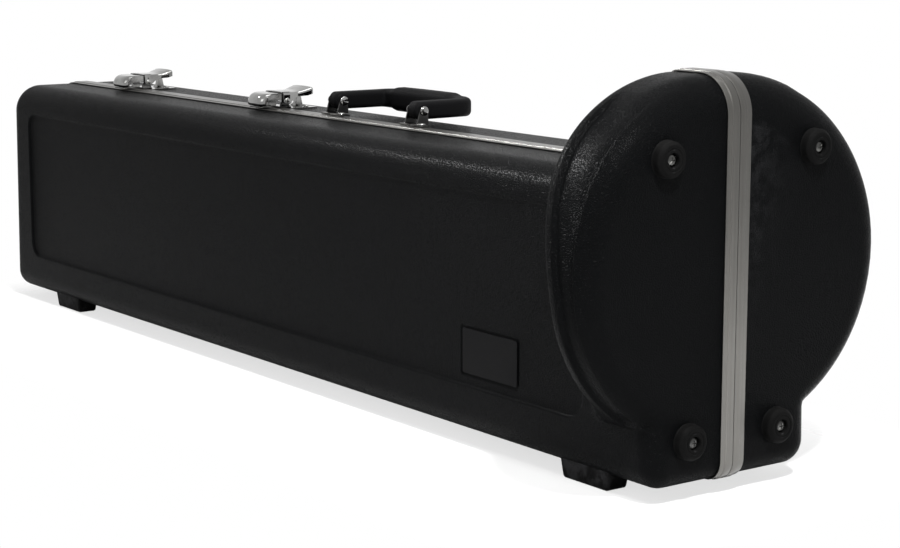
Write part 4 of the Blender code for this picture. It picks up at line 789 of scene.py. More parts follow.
@dataclass(frozen=True)
class PlatedMetal:
    """Bright plating, clouded where it has been handled."""

    dark: Colour
    light: Colour
    roughness: float
    clouding: float
    ripple: float = 0.00001
    smudge_scale: float = 48.0
    wear: float = 0.5
    wear_scale: float = 160.0
    worn: Colour = (0.42, 0.41, 0.39)
    worn_matt: float = 0.25

    def material(self, name: str, effects: Effects) -> bpy.types.Material:
        """Makes the material.

        Args:
            name: The material's name.
            effects: The shared effects that it draws on.

        Returns:
            The material.
        """
        paint = Painter(name)
        smudge = paint.effect(effects.smudge, Scale=self.smudge_scale)
        scuff = paint.effect(effects.scuff, Amount=self.wear, Scale=self.wear_scale).outputs["Mask"]
        mask = smudge.outputs["Mask"]
        paint.join("Base Color", paint.blend(scuff, paint.blend(mask, self.light, self.dark), self.worn))
        rough = paint.math("MULTIPLY_ADD", mask, self.clouding, self.roughness)
        paint.join("Roughness", paint.math("MULTIPLY_ADD", scuff, self.worn_matt, rough))
        paint.set(Metallic=1.0)
        paint.bump(smudge.outputs["Height"], self.ripple)
        return paint.material


@dataclass(frozen=True)
class Plush:
    """A soft pile with a nap that catches light at its edges."""

    dark: Colour
    light: Colour
    pile_scale: float
    pile_depth: float
    sheen: float
    sheen_roughness: float = 0.4
    sheen_level: float = 0.2
    fleck_span: Pair = (0.35, 0.9)
    fleck_share: float = 0.5
    fleck_light: float = 1.6
    roughness: float = 0.98
    nap_gloss: float = -0.08

    def material(self, name: str, effects: Effects) -> bpy.types.Material:
        """Makes the material.

        Args:
            name: The material's name.
            effects: The shared effects that it draws on.

        Returns:
            The material.
        """
        paint = Painter(name)
        pile = paint.effect(effects.pile, Scale=self.pile_scale)
        body = paint.blend(pile.outputs["Nap"], self.dark, self.light)
        fleck = paint.graded(pile.outputs["Height"], self.fleck_span, (0.0, self.fleck_share))
        paint.join("Base Color", paint.blend(fleck, body, tuple(self.fleck_light * c for c in self.light)))
        rough = paint.math("MULTIPLY_ADD", pile.outputs["Nap"], self.nap_gloss, self.roughness)
        paint.join("Roughness", rough)
        paint.set(Specular_IOR_Level=self.sheen_level, Sheen_Weight=self.sheen)
        paint.set(Sheen_Roughness=self.sheen_roughness, Sheen_Tint=self.light)
        paint.bump(pile.outputs["Height"], self.pile_depth)
        return paint.material


FINISHES = {
    Slot.SHELL: MouldedPlastic(
        dark=(0.0012, 0.0013, 0.0014), light=(0.0023, 0.0024, 0.0026), roughness=0.19, sheen_level=0.012,
        grain_scale=620.0, grain_depth=0.00022, scuff=0.2, dust=0.008,
    ),
    Slot.HANDLE: MouldedPlastic(
        dark=(0.0020, 0.0020, 0.0022), light=(0.0038, 0.0038, 0.0041), roughness=0.42, sheen_level=0.025,
        grain_scale=1500.0, grain_depth=0.00005, scuff=0.4, dust=0.03,
    ),
    Slot.RUBBER: MouldedPlastic(
        dark=(0.0018, 0.0018, 0.0018), light=(0.0036, 0.0036, 0.0036), roughness=0.46, sheen_level=0.016,
        grain_scale=1900.0, grain_depth=0.00004, scuff=0.4, dust=0.04,
    ),
    Slot.KEEPER: MouldedPlastic(
        dark=(0.018, 0.018, 0.019), light=(0.026, 0.026, 0.027), roughness=0.40, sheen_level=0.45,
        grain_scale=1700.0, grain_depth=0.00004, scuff=0.4, dust=0.0,
    ),
    Slot.LABEL: MouldedPlastic(
        dark=(0.0016, 0.0016, 0.0018), light=(0.0032, 0.0032, 0.0035), roughness=0.24, sheen_level=0.020,
        grain_scale=2400.0, grain_depth=0.00002, scuff=0.3, dust=0.01,
    ),
    Slot.VALANCE: DrawnMetal(
        dark=(0.060, 0.058, 0.054), light=(0.145, 0.141, 0.133), roughness=0.24, line_depth=0.00002,
    ),
    Slot.CHROME: PlatedMetal(
        dark=(0.17, 0.17, 0.165), light=(0.30, 0.30, 0.295), roughness=0.05, clouding=0.10,
    ),
    Slot.STEEL: PlatedMetal(
        dark=(0.28, 0.28, 0.27), light=(0.38, 0.38, 0.37), roughness=0.18, clouding=0.14,
    ),
    # Painted shade: the darker copy of the plated steel, which the bumper screws and handle brackets take.
    Look.BLACKENED: PlatedMetal(
        dark=(0.035, 0.035, 0.035), light=(0.075, 0.075, 0.072), roughness=0.22, clouding=0.12,
    ),
    Slot.PLUSH: Plush(
        dark=(0.030, 0.031, 0.035), light=(0.058, 0.060, 0.066),
        pile_scale=850.0, pile_depth=0.0005, sheen=0.35,
    ),
    Slot.BOARD: Plush(
        dark=(0.036, 0.037, 0.042), light=(0.062, 0.064, 0.070),
        pile_scale=1500.0, pile_depth=0.0002, sheen=0.2,
    ),
}
# Nodes that take the darker, painted-shade copy of the plated steel.
SHADED_STEEL_NODES = ("bumper_screw", "handle_bracket")


class Workshop:
    """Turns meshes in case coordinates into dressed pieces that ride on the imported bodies."""

    def __init__(self, parting_gap: float) -> None:
        """Finds the case's own origin and makes the materials.

        Args:
            parting_gap: How far the base half's valance stands from the parting plane.
        """
        shell_low, shell_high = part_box("shell_lid")
        valance_low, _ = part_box("valance_base")
        self.origin = Vector((shell_high.x, valance_low.y - parting_gap, shell_low.z))
        effects = Effects()
        self.materials = {key: finish.material(key.value, effects) for key, finish in FINISHES.items()}
        self.slots = {part["node"]: Slot(part["material_slot"]) for part in frame["record"]["subparts"]}

    def spot(self, node: str) -> tuple[Vector, Vector]:
        """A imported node's box in case coordinates."""
        low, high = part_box(node)
        return low - self.origin, high - self.origin

    def body(self, node: str) -> str:
        """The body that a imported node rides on."""
        return frame["nodes"][node]["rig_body"]

    def look(self, node: str) -> Slot | Look:
        """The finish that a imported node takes."""
        return Look.BLACKENED if node.startswith(SHADED_STEEL_NODES) else self.slots[node]

    def piece(
        self,
        name: str,
        mesh: bpy.types.Mesh,
        body: str,
        slot: Slot,
        replaces: Iterable[str] = (),
        look: Slot | Look | None = None,
    ) -> bpy.types.Object:
        """Adds a piece to the scene.

        Args:
            name: The piece's name.
            mesh: Its mesh in case coordinates.
            body: The body it rides on.
            slot: The record's slot that it belongs to.
            replaces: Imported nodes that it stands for.
            look: Its finish, where that isn't the slot's usual one.

        Returns:
            The piece.
        """
        mesh.transform(Matrix.Translation(self.origin))
        mesh.materials.clear()
        mesh.materials.append(self.materials[look or slot])
        made = placed(name, mesh)
        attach(made, body)
        if replaces:
            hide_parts(*replaces)
        return made

    def stand_in(self, node: str, mesh: bpy.types.Mesh) -> bpy.types.Object:
        """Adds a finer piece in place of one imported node, on its body and in its finish."""
        return self.piece(f"{node}_fine", mesh, self.body(node), self.slots[node], (node,), self.look(node))

    def dress(self, node: str, edge: float) -> None:
        """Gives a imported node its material, and eases its edges with modifiers.

        Args:
            node: The node's name.
            edge: The width of the eased edge, or zero to leave the edges.
        """
        shown = frame["nodes"][node]
        if not shown.material_slots:
            shown.data.materials.append(None)
        for held in shown.material_slots:
            held.link = "OBJECT"
            held.material = self.materials[self.look(node)]
        self.weld(shown)
        flat = shown.modifiers.new("flat_faces", "DECIMATE")
        flat.decimate_type = "DISSOLVE"
        flat.angle_limit = FLAT_BEND
        if edge:
            self.ease_edges(shown, edge)
        normals = shown.modifiers.new("even_normals", "WEIGHTED_NORMAL")
        normals.keep_sharp = True

    def weld(self, shown: bpy.types.Object) -> None:
        """Joins an object's split corners with a modifier."""
        shown.modifiers.new("weld", "WELD").merge_threshold = WELD_REACH

    def ease_edges(self, shown: bpy.types.Object, width: float) -> None:
        """Rounds an object's sharp edges with a modifier.

        Args:
            shown: The object.
            width: How wide the rounding is.
        """
        bevel = shown.modifiers.new("eased_edges", "BEVEL")
        bevel.width = width
        bevel.segments = 2
        bevel.limit_method = "ANGLE"
        bevel.angle_limit = SHARP_BEND


# ---- The moulded halves and their valances ----


@dataclass(frozen=True)
class CaseSizes:
    """Sizes of both halves, in metres.

    A half's two depths are its long box's and its drum's, from the parting plane. The rounds of the far end
    and the bell end are given at the bottom and at the top. The drum's reach along the case is given at the
    two reach_heights. Lip_turn and lip_run are shares of the quarter turn round the bell end, over which the
    sunk band's depth fades.
    """

    length: float = 1.008
    lid_depths: Pair = (0.073, 0.137)
    base_depths: Pair = (0.077, 0.146)
    box_height: float = 0.211
    drum_height: float = 0.278
    drum_centre: float = 0.152
    drum_lower_radius: float = 0.126
    wall: float = 0.0036
    fit_gap: float = 0.0003
    parting_gap: float = 0.00015
    valance_seat: float = 0.0125
    valance_web: float = 0.0015
    bottom_radius: float = 0.018
    top_radius: float = 0.026
    end_round: Pair = (0.015, 0.023)
    front_round: Pair = (0.014, 0.027)
    drum_reach: Pair = (0.030, 0.052)
    reach_heights: Pair = (0.130, 0.255)
    flare_run: float = 0.036
    panel_depth: float = 0.0018
    panel_step: float = 0.0025
    panel_low: float = 0.038
    panel_high: float = 0.185
    panel_corner: float = 0.016
    panel_end_margin: float = 0.046
    panel_drum_margin: float = 0.006
    band_depth: float = 0.0032
    band_top: float = 0.262
    band_margin: float = 0.007
    band_start: float = 0.005
    band_fade: float = 0.012
    lip_turn: float = 0.66
    lip_run: float = 0.08
    label_middle: Pair = (-0.181, 0.064)
    label_half: Pair = (0.0355, 0.0195)
    label_depth: float = 0.0008
    label_corner: float = 0.003
    plain_until: float = -0.135
    cap_ring: float = 0.0025


@dataclass(frozen=True)
class Fineness:
    """How finely a half is cut into columns and rows, in metres, chords and radians.

    A growth is how much the spacing grows with the distance from the nearest detail, a lead is the space left
    before a detail, and lip_turns are the rows' shares of the quarter turn round the bell end.
    """

    finest: float = 0.0008
    column_growth: float = 0.11
    row_growth: float = 0.12
    bottom_steps: int = 10
    top_steps: int = 14
    seat_steps: int = 8
    end_steps: int = 10
    end_lead: float = 0.001
    plain_steps: int = 4
    corner_steps: int = 20
    corner_lead: float = 0.002
    flare_steps: int = 18
    flare_lead: float = 0.0005
    band_steps: int = 5
    band_floor_steps: int = 4
    lip_turns: tuple[float, ...] = (
        1.0, 0.9, 0.82, 0.76, 0.74, 0.72, 0.70, 0.68, 0.66, 0.64, 0.58, 0.5, 0.4, 0.3, 0.2, 0.1, 0.0
    )
    sharp: float = 0.9
    straight: float = 1e-4


class MouldedHalf:
    """One half of the case as a fine grid: columns round the half outline, rows along the case."""

    def __init__(self, sizes: CaseSizes, side: Side) -> None:
        """Works out both outlines.

        Args:
            sizes: The case's sizes.
            side: Which half it is.
        """
        self.sizes = sizes
        self.side = side
        self.cuts = Fineness()
        self.box_depth, self.drum_depth = sizes.lid_depths if side is Side.LID else sizes.base_depths
        self.box = self.box_outline()
        self.drum = self.drum_outline()
        self.straight = self.straight_places()

    def box_outline(self) -> list[Pair]:
        """The long box's half outline as (depth, height).

        Returns:
            The points, from the bottom of the parting plane to its top.
        """
        s, cuts, depth = self.sizes, self.cuts, self.box_depth
        setback = s.valance_web + s.parting_gap + s.fit_gap
        points = [(setback, 0.0), (s.valance_seat, 0.0)]
        foot = (depth - s.bottom_radius, s.bottom_radius)
        points += arc(foot, s.bottom_radius, -QUARTER, 0.0, cuts.bottom_steps)
        stops = [s.panel_low, s.panel_low + s.panel_step / 2, s.panel_high - s.panel_step / 2, s.panel_high]
        if self.side is Side.LID:
            stops += [s.label_middle[1] + k * s.label_half[1] for k in (-1, 1)]
        shoulder = s.box_height - s.top_radius
        heights = graded(s.bottom_radius, shoulder, stops, cuts.finest, cuts.column_growth)[1:-1]
        points += [(depth, height) for height in heights]
        points += arc((depth - s.top_radius, shoulder), s.top_radius, 0.0, QUARTER, cuts.top_steps)
        for share in shares(cuts.seat_steps, 1):
            points.append((mix(depth - s.top_radius, s.valance_seat, share), s.box_height))
        return [*points, (setback, s.box_height)]

    def drum_outline(self) -> list[Pair]:
        """The box outline up to the drum's foot, then an ellipse up to the parting plane.

        Returns:
            The points, one for each of the box's.
        """
        s = self.sizes
        span = self.drum_depth - s.valance_seat
        start = -math.acos((self.box_depth - s.valance_seat) / span)
        self.foot_top = s.drum_centre + s.drum_lower_radius * math.sin(start)
        bend = s.panel_low + s.panel_step / 2
        first = next(k for k, point in enumerate(self.box) if point[1] > bend)
        lengths = [0.0]
        for before, after in zip(self.box[first:-1], self.box[first + 1 : -1]):
            lengths.append(lengths[-1] + math.dist(before, after))
        points = []
        for depth, height in self.box[:first]:
            share = max(height - s.bottom_radius, 0.0) / (bend - s.bottom_radius)
            points.append((depth, height + share * (self.foot_top - bend)))
        for length in lengths:
            angle = mix(start, QUARTER, length / lengths[-1])
            radius = s.drum_lower_radius if angle < 0 else s.drum_height - s.drum_centre
            points.append((s.valance_seat + span * math.cos(angle), s.drum_centre + radius * math.sin(angle)))
        return [*points, (self.box[-1][0], s.drum_height)]

    def straight_places(self) -> list[float]:
        """X places of the rows that cross every column at the same place.

        Returns:
            The places in order, from the far end.
        """
        s = self.sizes
        edge = s.panel_end_margin - s.length
        stops = [edge - s.panel_step / 2, edge + s.panel_step / 2]
        if self.side is Side.LID:
            stops += [s.label_middle[0] + k * s.label_half[0] for k in (-1, 1)]
        first = s.end_round[1] + self.cuts.end_lead - s.length
        return graded(first, s.plain_until, stops, self.cuts.finest, self.cuts.row_growth)

    def normal(self, outline: list[Pair], column: int) -> Vector:
        """The outward direction of an outline at a column.

        Args:
            outline: The box's or the drum's outline.
            column: Which column.

        Returns:
            The direction as (depth, height).
        """
        if column < 2:
            return Vector((0.0, -1.0))
        if column > len(outline) - 3:
            return Vector((0.0, 1.0))
        before, here, after = (Vector(outline[k]) for k in (column - 1, column, column + 1))
        along = ((here - before).normalized() + (after - here).normalized()).normalized()
        return Vector((along.y, -along.x))

    def sunk(self, x: float, height: float, flare: float) -> float:
        """How deep the side panel and the label's place are sunk at a place on the box.

        Args:
            x: The place along the case.
            height: The place's height.
            flare: Where the drum's flare starts at this height.

        Returns:
            The depth below the box's side.
        """
        s = self.sizes
        left = s.panel_end_margin - s.panel_step / 2 - s.length
        low, high = (left, s.panel_low - s.panel_step / 2), (flare - s.panel_drum_margin, s.panel_high)
        depth = s.panel_depth * ease(depth_inside((x, height), low, high, s.panel_corner) / s.panel_step)
        if self.side is Side.LID:
            low, high = (tuple(m + k * h for m, h in zip(s.label_middle, s.label_half)) for k in (-1, 1))
            inside = depth_inside((x, height), low, high, s.label_corner)
            depth += s.label_depth * ease(inside / s.label_depth)
        return depth

    def rows(self, column: int, relief: bool) -> list[Row]:
        """Rows of one column, from the far end to the bell end.

        Args:
            column: Which column.
            relief: Whether the panels and the drum's band are sunk.

        Returns:
            For each row its X, its share of the drum's outline and its inset.
        """
        s, cuts = self.sizes, self.cuts
        height, rise = self.box[column][1], self.drum[column][1]
        end_round = mix(*s.end_round, height / s.box_height)
        share = ease((rise - s.reach_heights[0]) / (s.reach_heights[1] - s.reach_heights[0]))
        edge = -mix(*s.drum_reach, share)
        flare = edge - s.flare_run
        found = [(-s.length, 0.0, end_round + s.cap_ring)]
        for turn in (QUARTER * share for share in shares(cuts.end_steps)):
            found.append((end_round * (1 - math.cos(turn)) - s.length, 0.0, end_round * (1 - math.sin(turn))))
        sinks = relief and abs(self.box[column][0] - self.box_depth) < SMALLEST
        for x in self.side_places(flare):
            found.append((x, 0.0, self.sunk(x, height, flare) if sinks else 0.0))
        found += [(mix(flare, edge, share), ease(share), 0.0) for share in shares(cuts.flare_steps)]
        band = s.band_depth * ease((rise - self.foot_top) / s.band_start)
        band *= ease((s.band_top + s.band_fade / 2 - rise) / s.band_fade)
        return found + self.drum_rows(edge, rise, band if relief and rise > self.foot_top else 0.0)

    def side_places(self, flare: float) -> list[float]:
        """X places of the rows on the long box, up to a column's flare.

        Args:
            flare: Where the flare starts at this column.

        Returns:
            The places in order, from the far end.
        """
        s, cuts = self.sizes, self.cuts
        start = flare - s.panel_drum_margin - s.panel_corner - cuts.corner_lead
        plain = [mix(s.plain_until, start, share) for share in shares(cuts.plain_steps, 1)[:-1]]
        corner = [mix(start, flare - cuts.flare_lead, share) for share in shares(cuts.corner_steps)]
        return [*self.straight, *plain, *corner]

    def drum_rows(self, edge: float, rise: float, band: float) -> list[Row]:
        """Rows of one column on the drum: into its band, along it, over the lip and round the bell end.

        Args:
            edge: Where the flare ends at this column.
            rise: The column's height on the drum.
            band: How deep the band is sunk there.

        Returns:
            The rows, as rows() gives them.
        """
        s, cuts = self.sizes, self.cuts
        front_round = mix(*s.front_round, rise / s.drum_height)
        found = []
        for share in shares(cuts.band_steps):
            found.append((edge + s.band_margin * mix(0.5, 1.0, share), 1.0, band * ease(share)))
        for share in shares(cuts.band_floor_steps, 1)[:-1]:
            found.append((mix(edge + s.band_margin, -front_round, share), 1.0, band))
        for share in cuts.lip_turns:
            turn = QUARTER * share
            inset = front_round * (1 - math.sin(turn)) + band * ease((share - s.lip_turn) / s.lip_run)
            found.append((-front_round * (1 - math.cos(turn)), 1.0, inset))
        return [*found, (0.0, 1.0, front_round + s.cap_ring)]

    def point(self, column: int, x: float, drum_share: float, inset: float) -> Vector:
        """The place of a row on a column.

        Args:
            column: Which column.
            x: The row's place along the case.
            drum_share: Its share of the drum's outline.
            inset: How far inside that outline it lies.

        Returns:
            The place in case coordinates.
        """
        box, drum = Vector(self.box[column]), Vector(self.drum[column])
        out = self.normal(self.box, column).lerp(self.normal(self.drum, column), drum_share)
        spot = box.lerp(drum, drum_share) - out.normalized() * inset
        return Vector((x, spot.x * self.side, spot.y))

    def grid(self, relief: bool) -> list[list[Vector]]:
        """Every column's points."""
        return [[self.point(c, *row) for row in self.rows(c, relief)] for c in range(len(self.box))]

    def inner_grid(self) -> list[list[Vector]]:
        """The same columns on the inside of the wall.

        Returns:
            Every column's points.
        """
        plain, wall = self.grid(False), self.sizes.wall
        last_column, last_row = len(plain) - 1, len(plain[0]) - 1
        inner = []
        for c, column in enumerate(plain):
            before, after = plain[max(c - 1, 0)], plain[min(c + 1, last_column)]
            spots = [column[0] + Vector((wall, 0, 0))]
            for r in range(1, last_row):
                along, across = column[r + 1] - column[r - 1], after[r] - before[r]
                spots.append(column[r] - across.cross(along).normalized() * wall * self.side)
            inner.append([*spots, column[last_row] - Vector((wall, 0, 0))])
        return inner

    def mesh(self, name: str) -> bpy.types.Mesh:
        """The half as a closed body: outside, inside and the rim between them.

        Args:
            name: The mesh's name.

        Returns:
            The mesh.
        """
        work = bmesh.new()
        grids = (self.grid(True), self.inner_grid())
        skins = [[[work.verts.new(p) for p in column] for column in grid] for grid in grids]
        columns, rows = len(skins[0]), len(skins[0][0])
        for skin in skins:
            for c in range(columns - 1):
                for r in range(rows - 1):
                    work.faces.new((skin[c][r], skin[c + 1][r], skin[c + 1][r + 1], skin[c][r + 1]))
            for r in (0, rows - 1):
                work.faces.new([column[r] for column in skin])
        outer, inner = skins
        for c in (0, columns - 1):
            for r in range(rows - 1):
                work.faces.new((outer[c][r], outer[c][r + 1], inner[c][r + 1], inner[c][r]))
        for r in (0, rows - 1):
            work.faces.new((outer[0][r], outer[-1][r], inner[-1][r], inner[0][r]))
        return closed_mesh(name, work, self.cuts.sharp)

    def rim(self) -> list[Vector]:
        """The outline at the parting plane as (x, z), without places in the middle of a straight.

        Returns:
            A closed loop, along the bottom to the bell end and back along the top.
        """
        bottom = [Vector((x, inset)) for x, _, inset in self.rows(0, False)[1:-1]]
        last = len(self.box) - 1
        top = [self.point(last, *row) for row in self.rows(last, False)[1:-1]]
        loop = bottom + [Vector((spot.x, spot.z)) for spot in reversed(top)]
        kept = []
        for here, before, after in zip(loop, loop[-1:] + loop[:-1], loop[1:] + loop[:1]):
            first, second = here - before, after - here
            bend = abs(first.normalized().cross(second.normalized()))
            if first.length > SMALLEST and bend > self.cuts.straight:
                kept.append(here)
        return kept


@dataclass
class MouldedShells:
    """The two moulded halves, which the case is made of."""

    shop: Workshop
    halves: dict[Side, MouldedHalf]

    def build(self) -> None:
        """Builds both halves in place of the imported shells."""
        for side, half in self.halves.items():
            name = side.name.lower()
            self.shop.piece(f"moulded_shell_{name}", half.mesh(name), name, Slot.SHELL, (f"shell_{name}",))


@dataclass
class Valances:
    """Aluminium extrusions round the parting plane: a flange, a raised rib, a web and a tongue or groove."""

    shop: Workshop
    halves: dict[Side, MouldedHalf]
    width: float = 0.011
    flange: float = 0.0009
    rib: float = 0.0016
    rib_width: float = 0.0062
    inner: float = 0.0008
    inner_width: float = 0.008
    tongue_height: float = 0.0012
    tongue_base: float = 0.0016
    tongue_tip: float = 0.0008
    groove_clearance: float = 0.0004
    edge: float = 0.00035
    sharp: float = 0.5

    def profile(self, sizes: CaseSizes, side: Side) -> list[Pair]:
        """The section as (outward, across), where outward starts at the shell's surface.

        Args:
            sizes: The case's sizes.
            side: The lid's section has the tongue, the base half's the groove.

        Returns:
            The closed section with eased corners.
        """
        gap, web = sizes.parting_gap, sizes.parting_gap + sizes.valance_web
        outer, rib = sizes.fit_gap + self.flange, sizes.fit_gap + self.rib
        inside = -sizes.wall - sizes.fit_gap
        lip = inside - self.inner
        points = [(rib, gap), (rib, self.rib_width), (outer, self.rib_width + self.flange / 2)]
        points += [(outer, self.width), (sizes.fit_gap, self.width), (sizes.fit_gap, web), (inside, web)]
        points += [(inside, self.inner_width), (lip, self.inner_width), (lip, gap)]
        if side is Side.LID:
            foot, tip, end = self.tongue_base / 2, self.tongue_tip / 2, -self.tongue_height
        else:
            foot = tip = self.tongue_base / 2 + self.groove_clearance
            end = web - sizes.valance_web / 4
        joint = ((-foot, gap), (-tip, end), (tip, end), (foot, gap))
        points += [(inside / 2 + out, across) for out, across in joint]
        return softened(points, self.edge, closed=True, steps=2)

    def rings(self, half: MouldedHalf) -> list[list[Vector]]:
        """The section at each place of a half's rim, mitred where the rim turns.

        Args:
            half: The moulded half.

        Returns:
            The sections in order round the rim.
        """
        rim = half.rim()
        found = []
        for before, here, after in zip(rim[-1:] + rim[:-1], rim, rim[1:] + rim[:1]):
            first, second = (here - before).normalized(), (after - here).normalized()
            both = first + second
            along, mitre = both.normalized(), 2 / both.length
            out = Vector((along.y, -along.x)) * mitre
            ring = []
            for outward, across in self.profile(half.sizes, half.side):
                spot = here + out * outward
                ring.append(Vector((spot.x, across * half.side, spot.y)))
            found.append(ring)
        return found

    def build(self) -> None:
        """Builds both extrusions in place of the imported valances."""
        for side, half in self.halves.items():
            name = side.name.lower()
            mesh = swept_mesh(f"drawn_valance_{name}", self.rings(half), True, self.sharp)
            self.shop.piece(mesh.name, mesh, name, Slot.VALANCE, (f"valance_{name}",))


# ---- Handle, bumpers, fasteners and latches ----


@dataclass
class FoldingHandle:
    """The moulded handle, folded over the base half, with a thicker grip between two legs.

    Lean is the legs' slope, and a half is half a section's width and height. The section grows by bend_share
    from leg to grip round the bend and by the rest over swell, and by belly to the grip's middle.
    """

    shop: Workshop
    spacing: float = 0.120
    leg_end: float = 0.0070
    leg_straight: float = 0.0090
    lean: float = 0.035
    grip_line: float = 0.0515
    corner: float = 0.0125
    leg_half: Pair = (0.00775, 0.0075)
    grip_half: Pair = (0.0096, 0.0104)
    leg_round: float = 0.0042
    end_round: float = 0.0070
    grip_round: float = 0.0068
    swell: float = 0.0100
    belly: float = 0.05
    leg_shares: Pair = (0.35, 0.7)
    bend_share: float = 0.25
    end_steps: int = 10
    bend_steps: int = 8
    middle_steps: int = 4
    section_steps: int = 6
    fullest_corner: float = 0.95
    sharp: float = 0.8

    def line(self) -> list[tuple[Vector, float]]:
        """The right half's middle line as (x, y) from the pivot, with its share of the grip's section.

        Returns:
            The places, from the leg's end to the middle of the grip.
        """
        leg = self.spacing / 2
        found = []
        for turn in (QUARTER * share for share in shares(self.end_steps)):
            found.append((Vector((leg, self.end_round * (1 - math.cos(turn)) - self.leg_end)), 0.0))
        found.append((Vector((leg, self.leg_straight)), 0.0))
        crossing = Vector((leg - self.lean * (self.grip_line - self.leg_straight), self.grip_line))
        rising = Vector((-self.lean, 1.0)).normalized()
        turn = math.acos(-rising.x)
        reach = self.corner * math.tan(turn / 2)
        start, end = crossing - rising * reach, crossing - Vector((reach, 0.0))
        found += [(found[-1][0].lerp(start, share), 0.0) for share in self.leg_shares]
        for share in shares(self.bend_steps):
            spot = start.lerp(crossing, share).lerp(crossing.lerp(end, share), share)
            found.append((spot, self.bend_share * ease(share)))
        inner = end.x - self.swell
        for share in shares(self.bend_steps, 1):
            spot = Vector((mix(end.x, inner, share), self.grip_line))
            found.append((spot, mix(self.bend_share, 1.0, ease(share))))
        for share in shares(self.middle_steps, 1):
            spot = Vector((mix(inner, 0.0, share), self.grip_line))
            found.append((spot, 1.0 + self.belly * math.sin(QUARTER * share)))
        return found

    def rings(self, pivot: Vector) -> list[list[Vector]]:
        """Sections along the whole handle.

        Args:
            pivot: The middle between its two pins.

        Returns:
            The sections, from one leg's end to the other's.
        """
        right = self.line()
        whole = right + [(Vector((-spot.x, spot.y)), share) for spot, share in reversed(right[:-1])]
        found = []
        for k, (spot, share) in enumerate(whole):
            before, after = whole[max(k - 1, 0)][0], whole[min(k + 1, len(whole) - 1)][0]
            along = (after - before).normalized()
            across = Vector((along.y, -along.x))
            wide, high = (mix(leg, grip, share) for leg, grip in zip(self.leg_half, self.grip_half))
            turn = QUARTER * min(min(k, len(whole) - 1 - k) / self.end_steps, 1.0)
            narrower, lower = (size * (1 - math.sin(turn)) for size in (self.leg_round, self.end_round))
            half = (wide - narrower, high - lower)
            corner = min(mix(self.leg_round, self.grip_round, share), min(half) * self.fullest_corner)
            outline = rounded_rectangle(half, corner, self.section_steps)
            found.append([pivot + Vector((*(spot + across * x), z)) for x, z in outline])
        return found

    def build(self) -> None:
        """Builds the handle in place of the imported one."""
        low, high = (self.shop.spot(f"handle_pin_{side}") for side in ("left", "right"))
        pivot = (low[0] + low[1] + high[0] + high[1]) / 4
        mesh = swept_mesh("moulded_handle", self.rings(pivot), sharp=self.sharp)
        self.shop.piece(mesh.name, mesh, "handle", Slot.HANDLE, ("handle",))


@dataclass
class EndBumpers:
    """Rubber discs on the bell end, dished round their screws. Foot is how far the foot spreads and rises."""

    shop: Workshop
    radius: float = 0.0125
    height: float = 0.0080
    recess_radius: float = 0.0048
    recess_depth: float = 0.0035
    hole: float = 0.0023
    shoulder: float = 0.0025
    groove: float = 0.0004
    foot: Pair = (0.0006, 0.0008)
    edge: float = 0.0009
    sides: int = 56

    def profile(self) -> list[Pair]:
        """The ring's section as (radius, height), with a shallow groove on its face.

        Returns:
            The closed section with eased corners.
        """
        floor = self.height - self.recess_depth
        ring = (self.radius + self.recess_radius - self.shoulder) / 2
        points = [(self.hole, 0.0), (self.hole, floor)]
        points += [(self.recess_radius, floor), (self.recess_radius, self.height)]
        points += [(ring - 2 * self.groove, self.height), (ring - self.groove, self.height - self.groove)]
        points += [(ring + self.groove, self.height - self.groove), (ring + 2 * self.groove, self.height)]
        points += [(self.radius - self.shoulder, self.height), (self.radius, self.height - self.shoulder)]
        points += [(self.radius, self.foot[1]), (self.radius + self.foot[0], 0.0)]
        return softened(points, self.edge, closed=True)

    def build(self) -> None:
        """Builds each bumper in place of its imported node."""
        for node in sorted(frame["nodes"]):
            if node.startswith("bumper_") and "screw" not in node:
                low, high = self.shop.spot(node)
                start = Vector((low.x, (low.y + high.y) / 2, (low.z + high.z) / 2))
                mesh = turned_mesh(node, self.profile(), start, ALONG, self.sides, closed=True)
                self.shop.stand_in(node, mesh)


class Head(Enum):
    """How a fastener's head is finished."""

    DOMED = "domed"
    CROSS = "cross"


